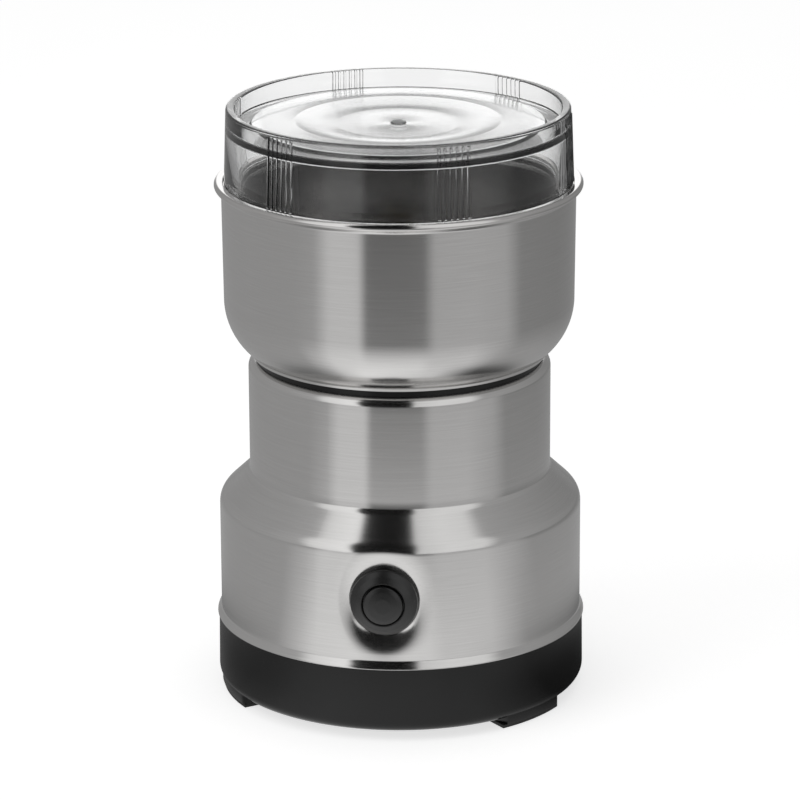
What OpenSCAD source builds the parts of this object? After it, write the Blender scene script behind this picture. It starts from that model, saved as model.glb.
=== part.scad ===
// Electric spice grinder: a clear lid over a steel grinding bowl, a pressed steel
// housing with a push button, and a universal motor that turns the blade.
// Millimetres. +Z is up, the motor shaft is the Z axis and Z = 0 is the underside
// of the rubber feet. The push button faces -Y, and angles round the axis are
// counted from there towards +X.

/* [Housing] */
// Outer radius of the wide part of the steel housing
housing_r = 51.5; // [50:0.1:54]
// Outer radius of the neck
neck_r = 42.8; // [42:0.1:44]
// Thickness of the pressed steel sheet
sheet = 0.8; // [0.6:0.1:1.2]
// Height of the top of the straight wall, where the shoulder starts
wall_top = 54.2; // [50:0.1:58]
// Height of the top of the neck
neck_top = 96.8; // [92:0.1:102]
// Radius of the shoulder's outer curve
shoulder_round = 4.7; // [3:0.1:6]
// Angle that the shoulder's curve turns through before it runs straight
shoulder_angle = 47; // [40:1:55]
// Radius of the hollow curve between shoulder and neck
crease_round = 3; // [2:0.1:4]
// Radius of the neck's top edge
neck_edge = 1.9; // [1.3:0.1:2.2]
// How far the bead round the bottom stands proud of the wall
bead_proud = 1.1; // [0.8:0.1:1.6]
// Height of the bead
bead_h = 3.6; // [2.8:0.1:6]

/* [Switch] */
// Height of the push button's axis
switch_z = 40.6; // [38:0.1:43]
// Depth of the pressed dish behind the wall
dish_depth = 2; // [1.4:0.1:3]
// Radius of the dish's flat floor
dish_floor_r = 9.6; // [9.5:0.1:10.5]
// Radius of the dish at the wall
dish_r = 15.2; // [14:0.1:17]
// Radius of the bezel where it stands on the dish
bezel_r = 9.4; // [8.8:0.1:9.4]
// Height of the bezel's side
bezel_side = 1.3; // [1:0.1:2]
// Rise of the bezel's face from its side to its mouth
bezel_rise = 2.4; // [1.5:0.1:3]
// Radius of the threaded barrel
barrel_r = 7.8; // [7.6:0.1:8.2]
// Depth of the barrel behind the dish
barrel_depth = 20.5; // [19:0.1:22]
// Radius of the button
button_r = 5.45; // [5:0.05:5.8]
// How far the button stands out of its bezel
button_proud = 1.4; // [1:0.1:2]
// Travel of the button
button_travel = 2.5; // [2:0.1:3]

/* [Bowl] */
// Air between the bowl's wall and the steel shell round it
shell_gap = 0.6; // [0.4:0.1:1]
// How much narrower the shell is where the dome starts
shell_taper = 0.3; // [0:0.1:1]
// Radius of the dome under the shell
dome_round = 19; // [16:0.5:22]
// How much narrower the dome's edge is than the neck under it
dome_step = 0.8; // [0:0.1:1.4]
// Width of the black gap at the waist
waist_gap = 1.8; // [1:0.1:3]
// Inner radius of the grinding bowl at its rim
bowl_r = 47.5; // [47:0.1:47.8]
// Inner depth of the grinding bowl
bowl_depth = 43.9; // [40:0.1:50]
// Radius of the curve between the bowl's wall and floor
bowl_round = 16; // [10:0.5:18]
// Gap between the shell's floor and the bowl's floor
bowl_cushion_h = 3.4; // [2:0.1:5]
// Radius of the rolled bead round the bowl's rim
rim_bead = 1.25; // [1.1:0.05:1.4]

/* [Lid] */
// How much wider the lid's foot is than the bowl under it
lid_overhang = 1.4; // [1.1:0.1:1.5]
// Draft of the lid's wall over its height
lid_draft = 0.8; // [0.4:0.1:1.2]
// Height of the lid above the rim that it stands on
lid_h = 21.7; // [18:0.1:30]
// Thickness of the lid's wall
lid_wall = 2.5; // [2:0.1:3]
// Depth of the lid's panel under its rim
panel_drop = 3.8; // [3:0.1:7]
// Thickness of the lid's panel
panel_t = 1.6; // [1.4:0.1:2.2]
// Depth of the panel's round hollow
hollow_drop = 1.2; // [0.6:0.1:2]
// Radius of the hollow's floor
hollow_r = 17.3; // [12:0.1:22]
// Length of the locating lip inside the bowl
lid_lip = 4.2; // [3:0.1:6]
// Number of places round the lid with grip ribs
grip_groups = 6; // [3:1:8]
// Number of ribs in each place
grip_ribs = 6; // [3:1:7]
// Angle from the button to the first place with ribs
grip_turn = 23.3; // [0:0.1:60]
// Radius of one rib
rib_r = 0.4; // [0.3:0.05:0.6]

/* [Base] */
// How far the plastic base stands proud of the housing's wall
base_proud = 0.9; // [0.5:0.1:1.5]
// Height of the base's top edge
base_top = 21.3; // [19:0.1:23]
// Radius of the base's bottom edge
base_edge = 3.4; // [2:0.1:4]
// Wall and floor thickness of the base
base_wall = 2.3; // [2:0.1:2.8]
// Height of the feet
foot_h = 2.5; // [2:0.1:4]
// Thickness of the rubber pad under each foot
pad_t = 0.9; // [0.6:0.1:1.4]
// Angle that one foot takes up
foot_angle = 27; // [20:1:34]
// Angle from the button to the first foot
foot_turn = 52.3; // [40:0.1:70]
// Radius of the hole in the cord bushing
cord_hole_r = 3.3; // [2.8:0.1:3.6]
// Height of the cord bushing's axis
cord_z = 11.8; // [11.4:0.1:12.2]
// Number of slots in the base's floor
vents = 18; // [12:1:20]

/* [Motor] */
// Radius of the motor shaft
shaft_r = 2.5; // [2:0.1:3]
// Height of the stack of laminations
stack_h = 22; // [16:1:24]
// Radius of the hole through the stator
stator_bore_r = 15; // [14.5:0.1:15.5]
// Gap between stator and armature
air_gap = 0.5; // [0.4:0.1:0.8]
// Radius of the motor's long screws
motor_screw_r = 1.6; // [1.5:0.1:2]
// Distance of the long screws from the shaft
motor_screw_pcd_r = 25.8; // [25:0.1:27]
// Angle from the button to the first long screw
motor_turn = 45; // [40:1:50]
// Number of slots round the armature
armature_slots = 12; // [8:1:14]
// Radius of the commutator
commutator_r = 8.5; // [7.5:0.1:9]

/* [Blade] */
// Length of the blade from tip to tip
blade_length = 62; // [50:1:70]
// Width of the blade at its hub
blade_width = 13; // [12:0.5:15]
// Thickness of the blade
blade_t = 1.5; // [1.2:0.1:2]
// Angle by which one arm rises and the other falls
blade_bend = 11; // [4:1:13]
// Angle by which each arm turns about its own length
blade_pitch = 14; // [0:1:18]

/* [Fits] */
// Play round a shaft in its bearing
running_fit = 0.05; // [0.03:0.01:0.08]
// Play between parts that are pressed or screwed together
seat_fit = 0.03; // [0.02:0.01:0.05]
// Play round a part that slides or lifts out
slide_fit = 0.3; // [0.25:0.05:0.35]

/* [Hidden] */

$fn = 96;
eps = 0.01;
far = 200;
arc_steps = 8;

steel = [0.72, 0.71, 0.70];
bare_steel = [0.60, 0.60, 0.61];
black = [0.12, 0.12, 0.12];
rubber = [0.07, 0.07, 0.07];
clear = [0.85, 0.88, 0.88, 0.45];
copper = [0.75, 0.42, 0.20];
brass = [0.80, 0.65, 0.32];
iron = [0.38, 0.38, 0.40];
carbon = [0.20, 0.20, 0.21];

// Heights of the stack above the neck
carrier_top = neck_top + waist_gap;
carrier_plate = 4;
carrier_low = carrier_top - carrier_plate;
shell_floor = carrier_top + sheet;
shell_r = bowl_r + 2 * sheet + shell_gap;
dome_edge_r = neck_r - dome_step;
bowl_under = shell_floor + bowl_cushion_h;
bowl_floor = bowl_under + sheet;
rim_z = bowl_floor + bowl_depth;
boss_r = 8;
boss_fit = 0.2;
cushion_w = 12;
bowl_nut_w = 6;
nut_h = 4.6;
nut_top = bowl_floor + nut_h;
boss_proud = 0.8;
boss_top = nut_top + boss_proud;
seal_h = 3.4;
seal_proud = 0.6;
seal_top = boss_top + seal_proud;
hub_gap = 0.4;
hub_low = seal_top + hub_gap;
hub_h = 3.6;
hub_r = 5.5;
blade_low = hub_low + hub_h;
blade_top = blade_low + blade_t;
blade_seat_r = hub_r + 0.5;
blade_disc_r = blade_seat_r + 0.5;
edge_w = 2.4;
edge_angle = 28;
blade_nut_h = 4;
blade_nut_w = 2.2;
shaft_proud = 1;
shaft_top = blade_top + blade_nut_h + shaft_proud;

// Dome under the shell: the arc starts level at the wall and ends at the waist edge
dome_top_r = shell_r - shell_taper;
dome_end_angle = acos((dome_edge_r - dome_top_r + dome_round) / dome_round);
dome_edge_h = 0.8;
dome_z = carrier_top + dome_edge_h + dome_round * sin(dome_end_angle);

// Rolled rim of the bowl, and the shell's flare that it is rolled over
rim_sheet_low = rim_z - sheet;
lid_r = bowl_r + lid_overhang;
bead_gap = 0.3;
bead_r = lid_r + bead_gap + rim_bead;
bead_lift = 0.4;
bead_z = rim_z + bead_lift;
flare_h = 2.8;
flare_z = rim_z - flare_h;
flare_top = bead_z - rim_bead - 0.05;
flare_r = bead_r + 0.45;

// Lid
lid_foot = rim_z + 0.1;
lid_top = lid_foot + lid_h;
lid_tilt = atan(lid_draft / lid_h);
panel_top = lid_top - panel_drop;
plateau_edge = 7.9;
plateau_r = lid_r - plateau_edge;
plateau_rise = 0.6;
plateau_crown = 0.8;
plateau_low = panel_top - plateau_crown;
panel_edge = plateau_low - plateau_rise;
hollow_slope = 11.5;
crest_r = hollow_r + hollow_slope;
gate_r = 2.1;
gate_h = 0.4;
lip_wall = 1.9;
lip_r = bowl_r - slide_fit;
grip_pitch = 2.3;

// Motor, hung from the carrier's plate
bracket_t = 2;
bracket_top = carrier_low;
bracket_low = bracket_top - bracket_t;
leg_h = 12.6;
leg_r = 4;
upper_bar_w = 36;
lower_bar_w = 16;
stack_top = bracket_low - leg_h;
stack_low = stack_top - stack_h;
stator_r = 30.5;
stator_flat = 50;
pole_shoe_t = 1.4;
coil_t = 5.9;
coil_in = stator_bore_r + pole_shoe_t;
coil_out = coil_in + coil_t;
coil_gap = 0.15;
pole_half = 28;
coil_half = 55;
coil_end = 4.2;
armature_r = stator_bore_r - air_gap;
slot_r = 1.5;
slot_depth = 4;
slot_mid = armature_r - slot_depth;
slot_mouth = 1.4;
winding_end = 4;
commutator_gap = 0.6;
commutator_top = stack_low - winding_end - commutator_gap;
commutator_h = 9.4;
commutator_low = commutator_top - commutator_h;
commutator_rise = 6;
lower_plate_top = commutator_low - commutator_rise;
lower_plate_low = lower_plate_top - bracket_t;
bearing_r = 6;
bearing_h = 7;
boss_down = 3.4;
boss_up = 4;
boss_floor = 1.4;
seal_gap = 1;
lower_boss_low = lower_plate_low - boss_down;
lower_boss_top = lower_plate_top + boss_up;
lower_bearing_z = lower_boss_low + boss_floor;
upper_bearing_z = boss_top - seal_h + seal_proud - bearing_h - seal_gap;
shaft_low = lower_bearing_z + 0.4;
lower_disc_r = 23;
bracket_hole_r = 3;
bracket_hole_pcd_r = (boss_r + lower_disc_r + 1) / 2;

// Brushes, at right angles to the long screws
brush_w = 4.8;
brush_h = 5.8;
brush_l = 8.6;
brush_z = commutator_low + commutator_h / 2;
brush_spring_r = 1.7;
brush_wire_r = 0.3;
holder_gap = 1.3;
holder_edge = 0.6;
holder_in = commutator_r + holder_gap;
holder_out = lower_disc_r - holder_edge;
holder_w = 10;
holder_cap = 1.2;
brush_in = commutator_r + running_fit;
brush_out = brush_in + brush_l;

// Switch: distances are counted outwards from the shaft's axis
dish_y = housing_r - dish_depth;
dish_turn = 150;
dish_rise = dish_depth + 0.2;
bezel_foot = 0.6;
bezel_taper = 0.1;
bezel_edge = 0.3;
bezel_top_r = bezel_r - bezel_taper;
bezel_face_r = bezel_top_r - bezel_edge;
mouth_r = button_r + slide_fit;
mouth_y = dish_y + bezel_side + bezel_rise;
button_y = mouth_y + button_proud;
lip_t = 1.5;
collar_y = mouth_y - lip_t - slide_fit;
collar_t = 1.4;
barrel_wall = 1.2;
cavity_r = barrel_r - barrel_wall;
collar_r = cavity_r - slide_fit;
stem_r = 2;
barrel_end = dish_y - barrel_depth;
spring_l = 8;
spring_r = collar_r - 2.1;
spring_wire_r = 0.35;
wall_y = collar_y - collar_t - spring_l;
wall_t = 1.5;
contact_t = 1.2;
contact_gap = 1.2;
contact_y = wall_y - wall_t - contact_gap;
contact_r = 5;
closed_end = 1.5;
pin_top = contact_y - contact_t - button_travel - 0.05;
tab_l = 3.6;
tab_w = 3.2;
tab_t = 0.8;
pin_r = 1;
pin_end = barrel_end - tab_l;
pin_x = 3;
switch_nut_h = 3;
switch_nut_r = barrel_r + 3.2;

// Carrier: the black moulding in the neck that everything is fixed to
carrier_fit = 0.3;
carrier_r = neck_r - sheet - carrier_fit;
carrier_wall = 2;
carrier_edge = neck_edge - sheet + 0.4;
waist_depth = 2.2;
collar_ring_r = neck_r - waist_depth;
neck_hole_r = collar_ring_r + 0.1;
carrier_skirt = 36;
post_r = 4;
post_sink = 1.7;
post_pcd_r = carrier_r - carrier_wall - post_r + post_sink;
post_turn = 90;
posts = 3;
post_low = 20;
base_screw_r = 1.6;
base_head_r = 3;
base_head_h = 2.4;
base_screw_l = 26;

// Base
base_r = housing_r + base_proud;
base_floor = foot_h + base_wall;
base_draft = 0.2;
spigot_fit = 0.2;
spigot_r = housing_r - sheet - spigot_fit;
spigot_wall = 2;
spigot_h = 4.2;
spigot_top = base_top + spigot_h;
foot_edge = 0.8;
foot_w = 7.6;
foot_out = base_r - foot_edge;
foot_in = foot_out - foot_w;
foot_stud_r = 2;
feet = 3;
boss_out_r = 5;
counterbore_r = base_head_r + 0.6;
counterbore_top = 8;
screw_head_z = counterbore_top - base_head_h;
vent_w = 2.4;
vent_in = 13;
vent_out = post_pcd_r - boss_out_r - vent_w;

// Cord bushing and clamp
bushing_wall = 1.7;
bushing_flange_w = 2.9;
bushing_lip_w = 1.1;
bushing_proud = 1.1;
bushing_l = 6.7;
bushing_r = cord_hole_r + bushing_wall;
bushing_flange_r = cord_hole_r + bushing_flange_w;
bushing_out = base_r + bushing_proud;
bushing_in = bushing_out - bushing_l;
// The flange beds on a flat round face sunk into the base's curved wall
bushing_seat = 0.6;
bushing_seat_y = base_r - bushing_seat;
bushing_lip_y = base_r - base_wall - 0.5;
clamp_behind = 3.8;
clamp_y = bushing_in - clamp_behind;
clamp_boss_r = 3;
clamp_x = cord_hole_r + clamp_boss_r + 2.3;
clamp_gap = 0.1;
clamp_low = cord_z + cord_hole_r + clamp_gap;
clamp_t = 2.4;
clamp_screw_r = 1.4;
clamp_screw_l = 8;
clamp_head_h = 1.6;
saddle_t = 3;
saddle_h = 0.9;

// Points along an arc, from angle a0 to a1
function arc(cx, cz, r, a0, a1, n = arc_steps) =
    [for (i = [0:n]) let (a = a0 + (a1 - a0) * i / n) [cx + r * cos(a), cz + r * sin(a)]];

function reversed(points) = [for (i = [len(points) - 1:-1:0]) points[i]];

// Puts a shape that stands on the Z axis at an angle and distance round the shaft
module around(angle, r) {
    rotate([0, 0, angle]) translate([0, -r, 0]) children();
}

// Lays a shape that stands on the Z axis along the button's axis, outwards
module on_switch_axis() {
    translate([0, 0, switch_z]) rotate([90, 0, 0]) children();
}

module tube(outer, inner, low, high) {
    translate([0, 0, low]) difference() {
        cylinder(r = outer, h = high - low);
        translate([0, 0, -1]) cylinder(r = inner, h = high - low + 2);
    }
}

module disc(r, low, high) {
    translate([0, 0, low]) cylinder(r = r, h = high - low);
}

// Outline of the housing's wall, moved inwards by t
function shoulder_start(t) = [housing_r - shoulder_round + (shoulder_round - t) * cos(shoulder_angle),
    wall_top + (shoulder_round - t) * sin(shoulder_angle)];
crease_angle = 12;
function crease_x(t) = neck_r - t
    - (crease_round + t) * (cos(shoulder_angle) - cos(crease_angle));
function crease_z(t) = shoulder_start(t)[1]
    + (shoulder_start(t)[0] - crease_x(t)) / tan(shoulder_angle);
function crease_arc(t) = let (r = crease_round + t,
        cx = crease_x(t) + r * cos(shoulder_angle),
        cz = crease_z(t) + r * sin(shoulder_angle))
    [for (p = arc(0, 0, r, shoulder_angle, crease_angle)) [cx - p[0], cz - p[1]]];
// The bead swells by a cosine and tucks in again at the bottom edge
bead_end = 250;
bead_steps = 10;
function bead_points(t) = [for (i = [bead_steps:-1:0]) let (a = bead_end * i / bead_steps)
    [housing_r - t + bead_proud * (1 - cos(a)) / 2, base_top + bead_h * (1 - i / bead_steps)]];
function housing_outline(t) = concat(
    bead_points(t),
    [[housing_r - t, wall_top]],
    arc(housing_r - shoulder_round, wall_top, shoulder_round - t,
        shoulder_angle / arc_steps, shoulder_angle, arc_steps - 1),
    crease_arc(t),
    [[neck_r - t, neck_top - neck_edge]],
    arc(neck_r - neck_edge, neck_top - neck_edge, neck_edge - t, 90 / arc_steps, 90, arc_steps - 1),
    [[0, neck_top - t]]);

// Rise of the dish's slope, from 0 at its floor to 1 at the wall: hollow at first, then round
function dish_at(share) = dish_rise * (1 - cos(dish_turn * share)) / (1 - cos(dish_turn));

// A cutter with the form of the pressed dish
module dish(t) {
    steps = 10;
    on_switch_axis() rotate_extrude()
        polygon(concat([[0, dish_y - t]],
            [for (i = [0:steps]) [dish_floor_r + t / 2 + (dish_r - dish_floor_r) * i / steps,
                dish_y - t + dish_at(i / steps)]],
            [[dish_r + t / 2, housing_r + 8], [0, housing_r + 8]]));
}

module housing_solid(t, low) {
    outline = housing_outline(t);
    down = low < base_top ? [[outline[0][0], low]] : [];
    difference() {
        rotate_extrude() polygon(concat([[0, low]], down, outline));
        dish(t);
    }
}

module housing() {
    color(steel) difference() {
        housing_solid(0, base_top);
        housing_solid(sheet, base_top - 1);
        disc(neck_hole_r, neck_top - 5, neck_top + 1);
        on_switch_axis() disc(barrel_r + 0.3, dish_y - 5, dish_y + 5);
    }
}

module motor_carrier() {
    color(black) difference() {
        union() {
            rotate_extrude() polygon([
                [boss_r + boss_fit, carrier_low], [carrier_r - carrier_wall, carrier_low],
                [carrier_r - carrier_wall, carrier_top - carrier_skirt],
                [carrier_r, carrier_top - carrier_skirt],
                [carrier_r, neck_top - sheet - carrier_edge], [carrier_r - carrier_edge, neck_top - sheet],
                [collar_ring_r, neck_top - sheet], [collar_ring_r, carrier_top],
                [boss_r + boss_fit, carrier_top]]);
            for (i = [0:posts - 1])
                around(post_turn + i * 360 / posts, post_pcd_r) disc(post_r, post_low, carrier_low + eps);
        }
        for (i = [0:posts - 1])
            around(post_turn + i * 360 / posts, post_pcd_r)
                disc(base_screw_r + seat_fit, post_low - 1, screw_head_z + base_screw_l + 1);
    }
}

module bowl_shell() {
    wall = concat(
        [[dome_edge_r, carrier_top], [dome_edge_r, carrier_top + dome_edge_h]],
        arc(dome_top_r - dome_round, dome_z, dome_round, -dome_end_angle, 0, 12),
        [[shell_r, flare_z], [flare_r, flare_top]]);
    inside = concat(
        [[flare_r - sheet, flare_top], [shell_r - sheet, flare_z + sheet / 2]],
        reversed(arc(dome_top_r - dome_round, dome_z, dome_round - sheet, -dome_end_angle, 0, 12)),
        [[dome_edge_r - sheet - 0.4, shell_floor]]);
    color(steel) rotate_extrude() polygon(concat(
        [[boss_r + boss_fit, carrier_top]], wall, inside, [[boss_r + boss_fit, shell_floor]]));
}

module bowl_cushion() {
    color(rubber) tube(boss_r + cushion_w, boss_r + boss_fit, shell_floor, bowl_under);
}

module grinding_bowl() {
    low_r = bowl_r - 0.5;
    wall_in = concat([[boss_r + boss_fit, bowl_floor]],
        arc(low_r - bowl_round, bowl_floor + bowl_round, bowl_round, -90, 0, 12),
        [[bowl_r, rim_z - 1]], arc(bowl_r + 1, rim_z - 1, 1, 180, 90, 4), [[bead_r, rim_z]]);
    wall_out = concat([[bead_r, rim_sheet_low], [bowl_r + sheet + 0.4, rim_sheet_low],
        [bowl_r + sheet, rim_sheet_low - 0.4]],
        reversed(arc(low_r - bowl_round, bowl_floor + bowl_round, bowl_round + sheet, -90, 0, 12)),
        [[boss_r + boss_fit, bowl_under]]);
    color(steel) union() {
        rotate_extrude() polygon(concat(wall_in, wall_out));
        rotate_extrude() translate([bead_r, bead_z]) circle(r = rim_bead, $fn = 32);
    }
}

module bowl_nut() {
    color(bare_steel) difference() {
        translate([0, 0, bowl_floor]) cylinder(r = boss_r + bowl_nut_w, h = nut_h, $fn = 6);
        disc(boss_r + seat_fit, bowl_floor - 1, nut_top + 1);
    }
}

module shaft_seal() {
    color(rubber) tube(bearing_r, shaft_r + slide_fit, seal_top - seal_h, seal_top);
}

module lid() {
    wall = [[lid_r - lid_wall, lid_foot], [lid_r, lid_foot], [lid_r - lid_draft + 0.1, lid_top - 0.7],
        [lid_r - lid_draft - 0.6, lid_top], [lid_r - lid_draft - lid_wall + 0.5, lid_top],
        [lid_r - lid_draft - lid_wall, lid_top - 0.5]];
    inner = lid_r - lid_draft * 0.7 - lid_wall;
    steps = 5;
    crown = [for (i = [0:steps]) [plateau_r + (crest_r - plateau_r) * i / steps,
        plateau_low + plateau_crown * sin(90 * i / steps)]];
    hollow = [for (i = [1:steps]) [crest_r - hollow_slope * i / steps,
        panel_top - hollow_drop * (1 - cos(90 * i / steps))]];
    panel = concat([[lid_r - lid_draft - lid_wall, panel_edge], [plateau_r + 0.5, panel_edge]],
        crown, hollow, [[0, panel_top - hollow_drop]]);
    under = [[0, panel_top - hollow_drop - panel_t], [hollow_r, panel_top - hollow_drop - panel_t],
        [crest_r, panel_top - panel_t], [plateau_r, plateau_low - panel_t],
        [inner - 1, panel_edge - panel_t], [inner, panel_edge - panel_t - 1]];
    lip = [[lip_r - lip_wall, lid_foot + 2], [lip_r - lip_wall, lid_foot - lid_lip],
        [lip_r - 0.6, lid_foot - lid_lip], [lip_r, lid_foot - lid_lip + 1.5], [lip_r, lid_foot]];
    color(clear) union() {
        rotate_extrude() polygon(concat(wall, panel, under, lip));
        disc(gate_r, panel_top - hollow_drop - eps, panel_top - hollow_drop + gate_h);
        for (g = [0:grip_groups - 1], i = [0:grip_ribs - 1])
            around(grip_turn + g * 360 / grip_groups + (i - (grip_ribs - 1) / 2) * grip_pitch, lid_r - 0.15)
                translate([0, 0, lid_foot + 2]) rotate([-lid_tilt, 0, 0])
                    cylinder(r = rib_r, h = lid_h - 3.2, $fn = 16);
    }
}

// One arm of the blade, along +X: it tapers to a cut tip, and its raised edge is ground
module blade_arm() {
    half = blade_length / 2;
    root = blade_width / 2;
    rotate([blade_pitch, 0, 0]) difference() {
        linear_extrude(blade_t)
            polygon([[3, -root + 2], [5, -root + 1.6], [half - 3, -root + 2.4], [half, -root + 6.4],
                [half - 1.2, root - 3], [6, root - 2.2], [3, root - 2.4]]);
        translate([blade_disc_r + 1, root - 2.4 - edge_w, blade_t]) rotate([-edge_angle, 0, -1.5])
            cube([half, far, blade_t * 2]);
    }
}

module blade() {
    bend_x = 3;
    color(bare_steel) difference() {
        union() {
            disc(blade_disc_r, blade_low, blade_top);
            // The arms leave the hub and the nut their flat seats
            difference() {
                for (side = [0, 1])
                    rotate([0, 0, 180 * side]) translate([bend_x, 0, blade_low])
                        rotate([0, side == 0 ? -blade_bend : blade_bend, 0]) translate([-bend_x, 0, 0])
                            blade_arm();
                disc(blade_seat_r, blade_low - 9, blade_top + 9);
            }
        }
        disc(shaft_r + seat_fit, blade_low - 9, blade_top + 9);
    }
}

module blade_hub() {
    color(brass) tube(hub_r, shaft_r + seat_fit, hub_low, blade_low);
}

module blade_nut() {
    color(bare_steel) difference() {
        translate([0, 0, blade_top]) cylinder(r = shaft_r + blade_nut_w, h = blade_nut_h, $fn = 6);
        disc(shaft_r + seat_fit, blade_top - 1, blade_top + blade_nut_h + 1);
    }
}

module motor_shaft() {
    chamfer = 0.5;
    color(bare_steel) rotate_extrude() polygon([[0, shaft_low], [shaft_r - chamfer, shaft_low],
        [shaft_r, shaft_low + chamfer], [shaft_r, shaft_top - chamfer], [shaft_r - chamfer, shaft_top],
        [0, shaft_top]]);
}

module armature_core() {
    color(iron) difference() {
        tube(armature_r, shaft_r + seat_fit, stack_low, stack_top);
        for (i = [0:armature_slots - 1])
            around(i * 360 / armature_slots, slot_mid) {
                disc(slot_r, stack_low - 1, stack_top + 1);
                translate([-slot_mouth / 2, -far, stack_low - 1]) cube([slot_mouth, far, stack_h + 2]);
            }
    }
}

module armature_winding() {
    core_r = slot_mid + slot_r * 0.6;
    color(copper) difference() {
        union() {
            for (i = [0:armature_slots - 1])
                around(i * 360 / armature_slots, slot_mid)
                    disc(slot_r - 0.15, stack_low - winding_end / 2, stack_top + winding_end / 2);
            for (z = [stack_low - winding_end, stack_top + 0.1])
                rotate_extrude() polygon([[shaft_r + 1.5, z], [core_r - 1.5, z], [core_r, z + 1.5],
                    [core_r, z + winding_end - 1.6], [core_r - 1.5, z + winding_end - 0.1],
                    [shaft_r + 1.5, z + winding_end - 0.1]]);
        }
        disc(shaft_r + 1, shaft_low, shaft_top);
    }
}

module commutator() {
    color(copper) difference() {
        tube(commutator_r, shaft_r + seat_fit, commutator_low, commutator_top);
        for (i = [0:armature_slots * 2 - 1])
            around(i * 180 / armature_slots, commutator_r)
                translate([-0.25, -1, commutator_low - 1]) cube([0.5, 1.6, commutator_h - 1]);
    }
}

module upper_bearing() {
    color(brass) tube(bearing_r, shaft_r + running_fit, upper_bearing_z, upper_bearing_z + bearing_h);
}

module lower_bearing() {
    color(brass) tube(bearing_r, shaft_r + running_fit, lower_bearing_z, lower_bearing_z + bearing_h);
}

// Both brackets carry a bearing and stand on the stator over the long screws
module upper_bracket() {
    color(bare_steel) difference() {
        union() {
            intersection() {
                disc(leg_r + motor_screw_pcd_r, bracket_low, bracket_top);
                rotate([0, 0, motor_turn]) translate([-upper_bar_w / 2, -far / 2, bracket_low])
                    cube([upper_bar_w, far, bracket_t]);
            }
            disc(boss_r, bracket_low, boss_top);
            for (side = [0, 180])
                around(motor_turn + side, motor_screw_pcd_r) disc(leg_r, stack_top, bracket_low + eps);
        }
        disc(bearing_r + seat_fit, upper_bearing_z, boss_top + 1);
        disc(shaft_r + 1, bracket_low - 1, boss_top);
        for (side = [0, 180])
            around(motor_turn + side, motor_screw_pcd_r)
                disc(motor_screw_r + seat_fit, stack_top - 1, bracket_top + 1);
    }
}

module lower_bracket() {
    color(bare_steel) difference() {
        union() {
            disc(lower_disc_r, lower_plate_low, lower_plate_top);
            intersection() {
                disc(leg_r + motor_screw_pcd_r, lower_plate_low, lower_plate_top);
                rotate([0, 0, motor_turn]) translate([-lower_bar_w / 2, -far / 2, lower_plate_low])
                    cube([lower_bar_w, far, bracket_t]);
            }
            disc(boss_r, lower_boss_low, lower_boss_top);
            for (side = [0, 180])
                around(motor_turn + side, motor_screw_pcd_r) disc(leg_r, lower_plate_top - eps, stack_low);
        }
        disc(bearing_r + seat_fit, lower_bearing_z, lower_boss_top + 1);
        for (side = [0, 180])
            around(motor_turn + side, motor_screw_pcd_r)
                disc(motor_screw_r + seat_fit, lower_plate_low - 1, stack_low + 1);
        for (side = [-1, 1], turn = [50, 130])
            around(motor_turn + side * turn, bracket_hole_pcd_r)
                disc(bracket_hole_r, lower_plate_low - 1, lower_plate_top + 1);
    }
}

// A plane sector of a ring, centred on -Y
module ring_sector(inner, outer, half) {
    intersection() {
        difference() {
            circle(r = outer);
            circle(r = inner);
        }
        polygon([[0, 0], [-far * tan(half), -far], [far * tan(half), -far]]);
    }
}

module stator_core() {
    color(iron) rotate([0, 0, motor_turn]) translate([0, 0, stack_low]) linear_extrude(stack_h)
        difference() {
            intersection() {
                circle(r = stator_r);
                square([stator_flat, 2 * stator_r], center = true);
            }
            circle(r = stator_bore_r);
            for (side = [0, 180]) rotate(side) {
                // The space between the pole shoes, towards the long screws
                ring_sector(stator_bore_r - 1, coil_out, 90 - coil_half - 2);
                // Room for the two sides of a coil behind the pole shoe
                rotate(90) difference() {
                    ring_sector(coil_in - coil_gap, coil_out, coil_half + 2.5);
                    ring_sector(coil_in - 2, coil_out + 2, pole_half);
                }
                translate([0, -motor_screw_pcd_r]) circle(r = motor_screw_r + seat_fit);
            }
        }
}

module field_coils() {
    color(copper) for (side = [90, 270])
        rotate([0, 0, motor_turn + side]) difference() {
            translate([0, 0, stack_low - coil_end]) linear_extrude(stack_h + 2 * coil_end)
                ring_sector(coil_in, coil_out - coil_gap, coil_half);
            translate([0, 0, stack_low - 0.3]) linear_extrude(stack_h + 0.6)
                ring_sector(coil_in - 1, coil_out + 1, pole_half + 0.8);
        }
}

module motor_screws() {
    head_h = 2;
    color(bare_steel) for (side = [0, 180])
        around(motor_turn + side, motor_screw_pcd_r) {
            disc(motor_screw_r, lower_plate_low - eps, bracket_top - 0.2);
            disc(motor_screw_r * 1.9, lower_plate_low - head_h, lower_plate_low);
        }
}

module brush_holders() {
    color(black) for (side = [90, 270])
        rotate([0, 0, motor_turn + side]) difference() {
            translate([-holder_w / 2, -holder_out, lower_plate_top])
                cube([holder_w, holder_out - holder_in, commutator_top - lower_plate_top - 0.2]);
            translate([-brush_w / 2 - 0.1, -holder_out + holder_cap, brush_z - brush_h / 2 - 0.1])
                cube([brush_w + 0.2, holder_out, brush_h + 0.2]);
        }
}

module carbon_brushes() {
    color(carbon) for (side = [90, 270])
        rotate([0, 0, motor_turn + side]) difference() {
            translate([-brush_w / 2, -brush_out, brush_z - brush_h / 2])
                cube([brush_w, brush_l, brush_h]);
            disc(brush_in, brush_z - brush_h, brush_z + brush_h);
        }
}

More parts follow.
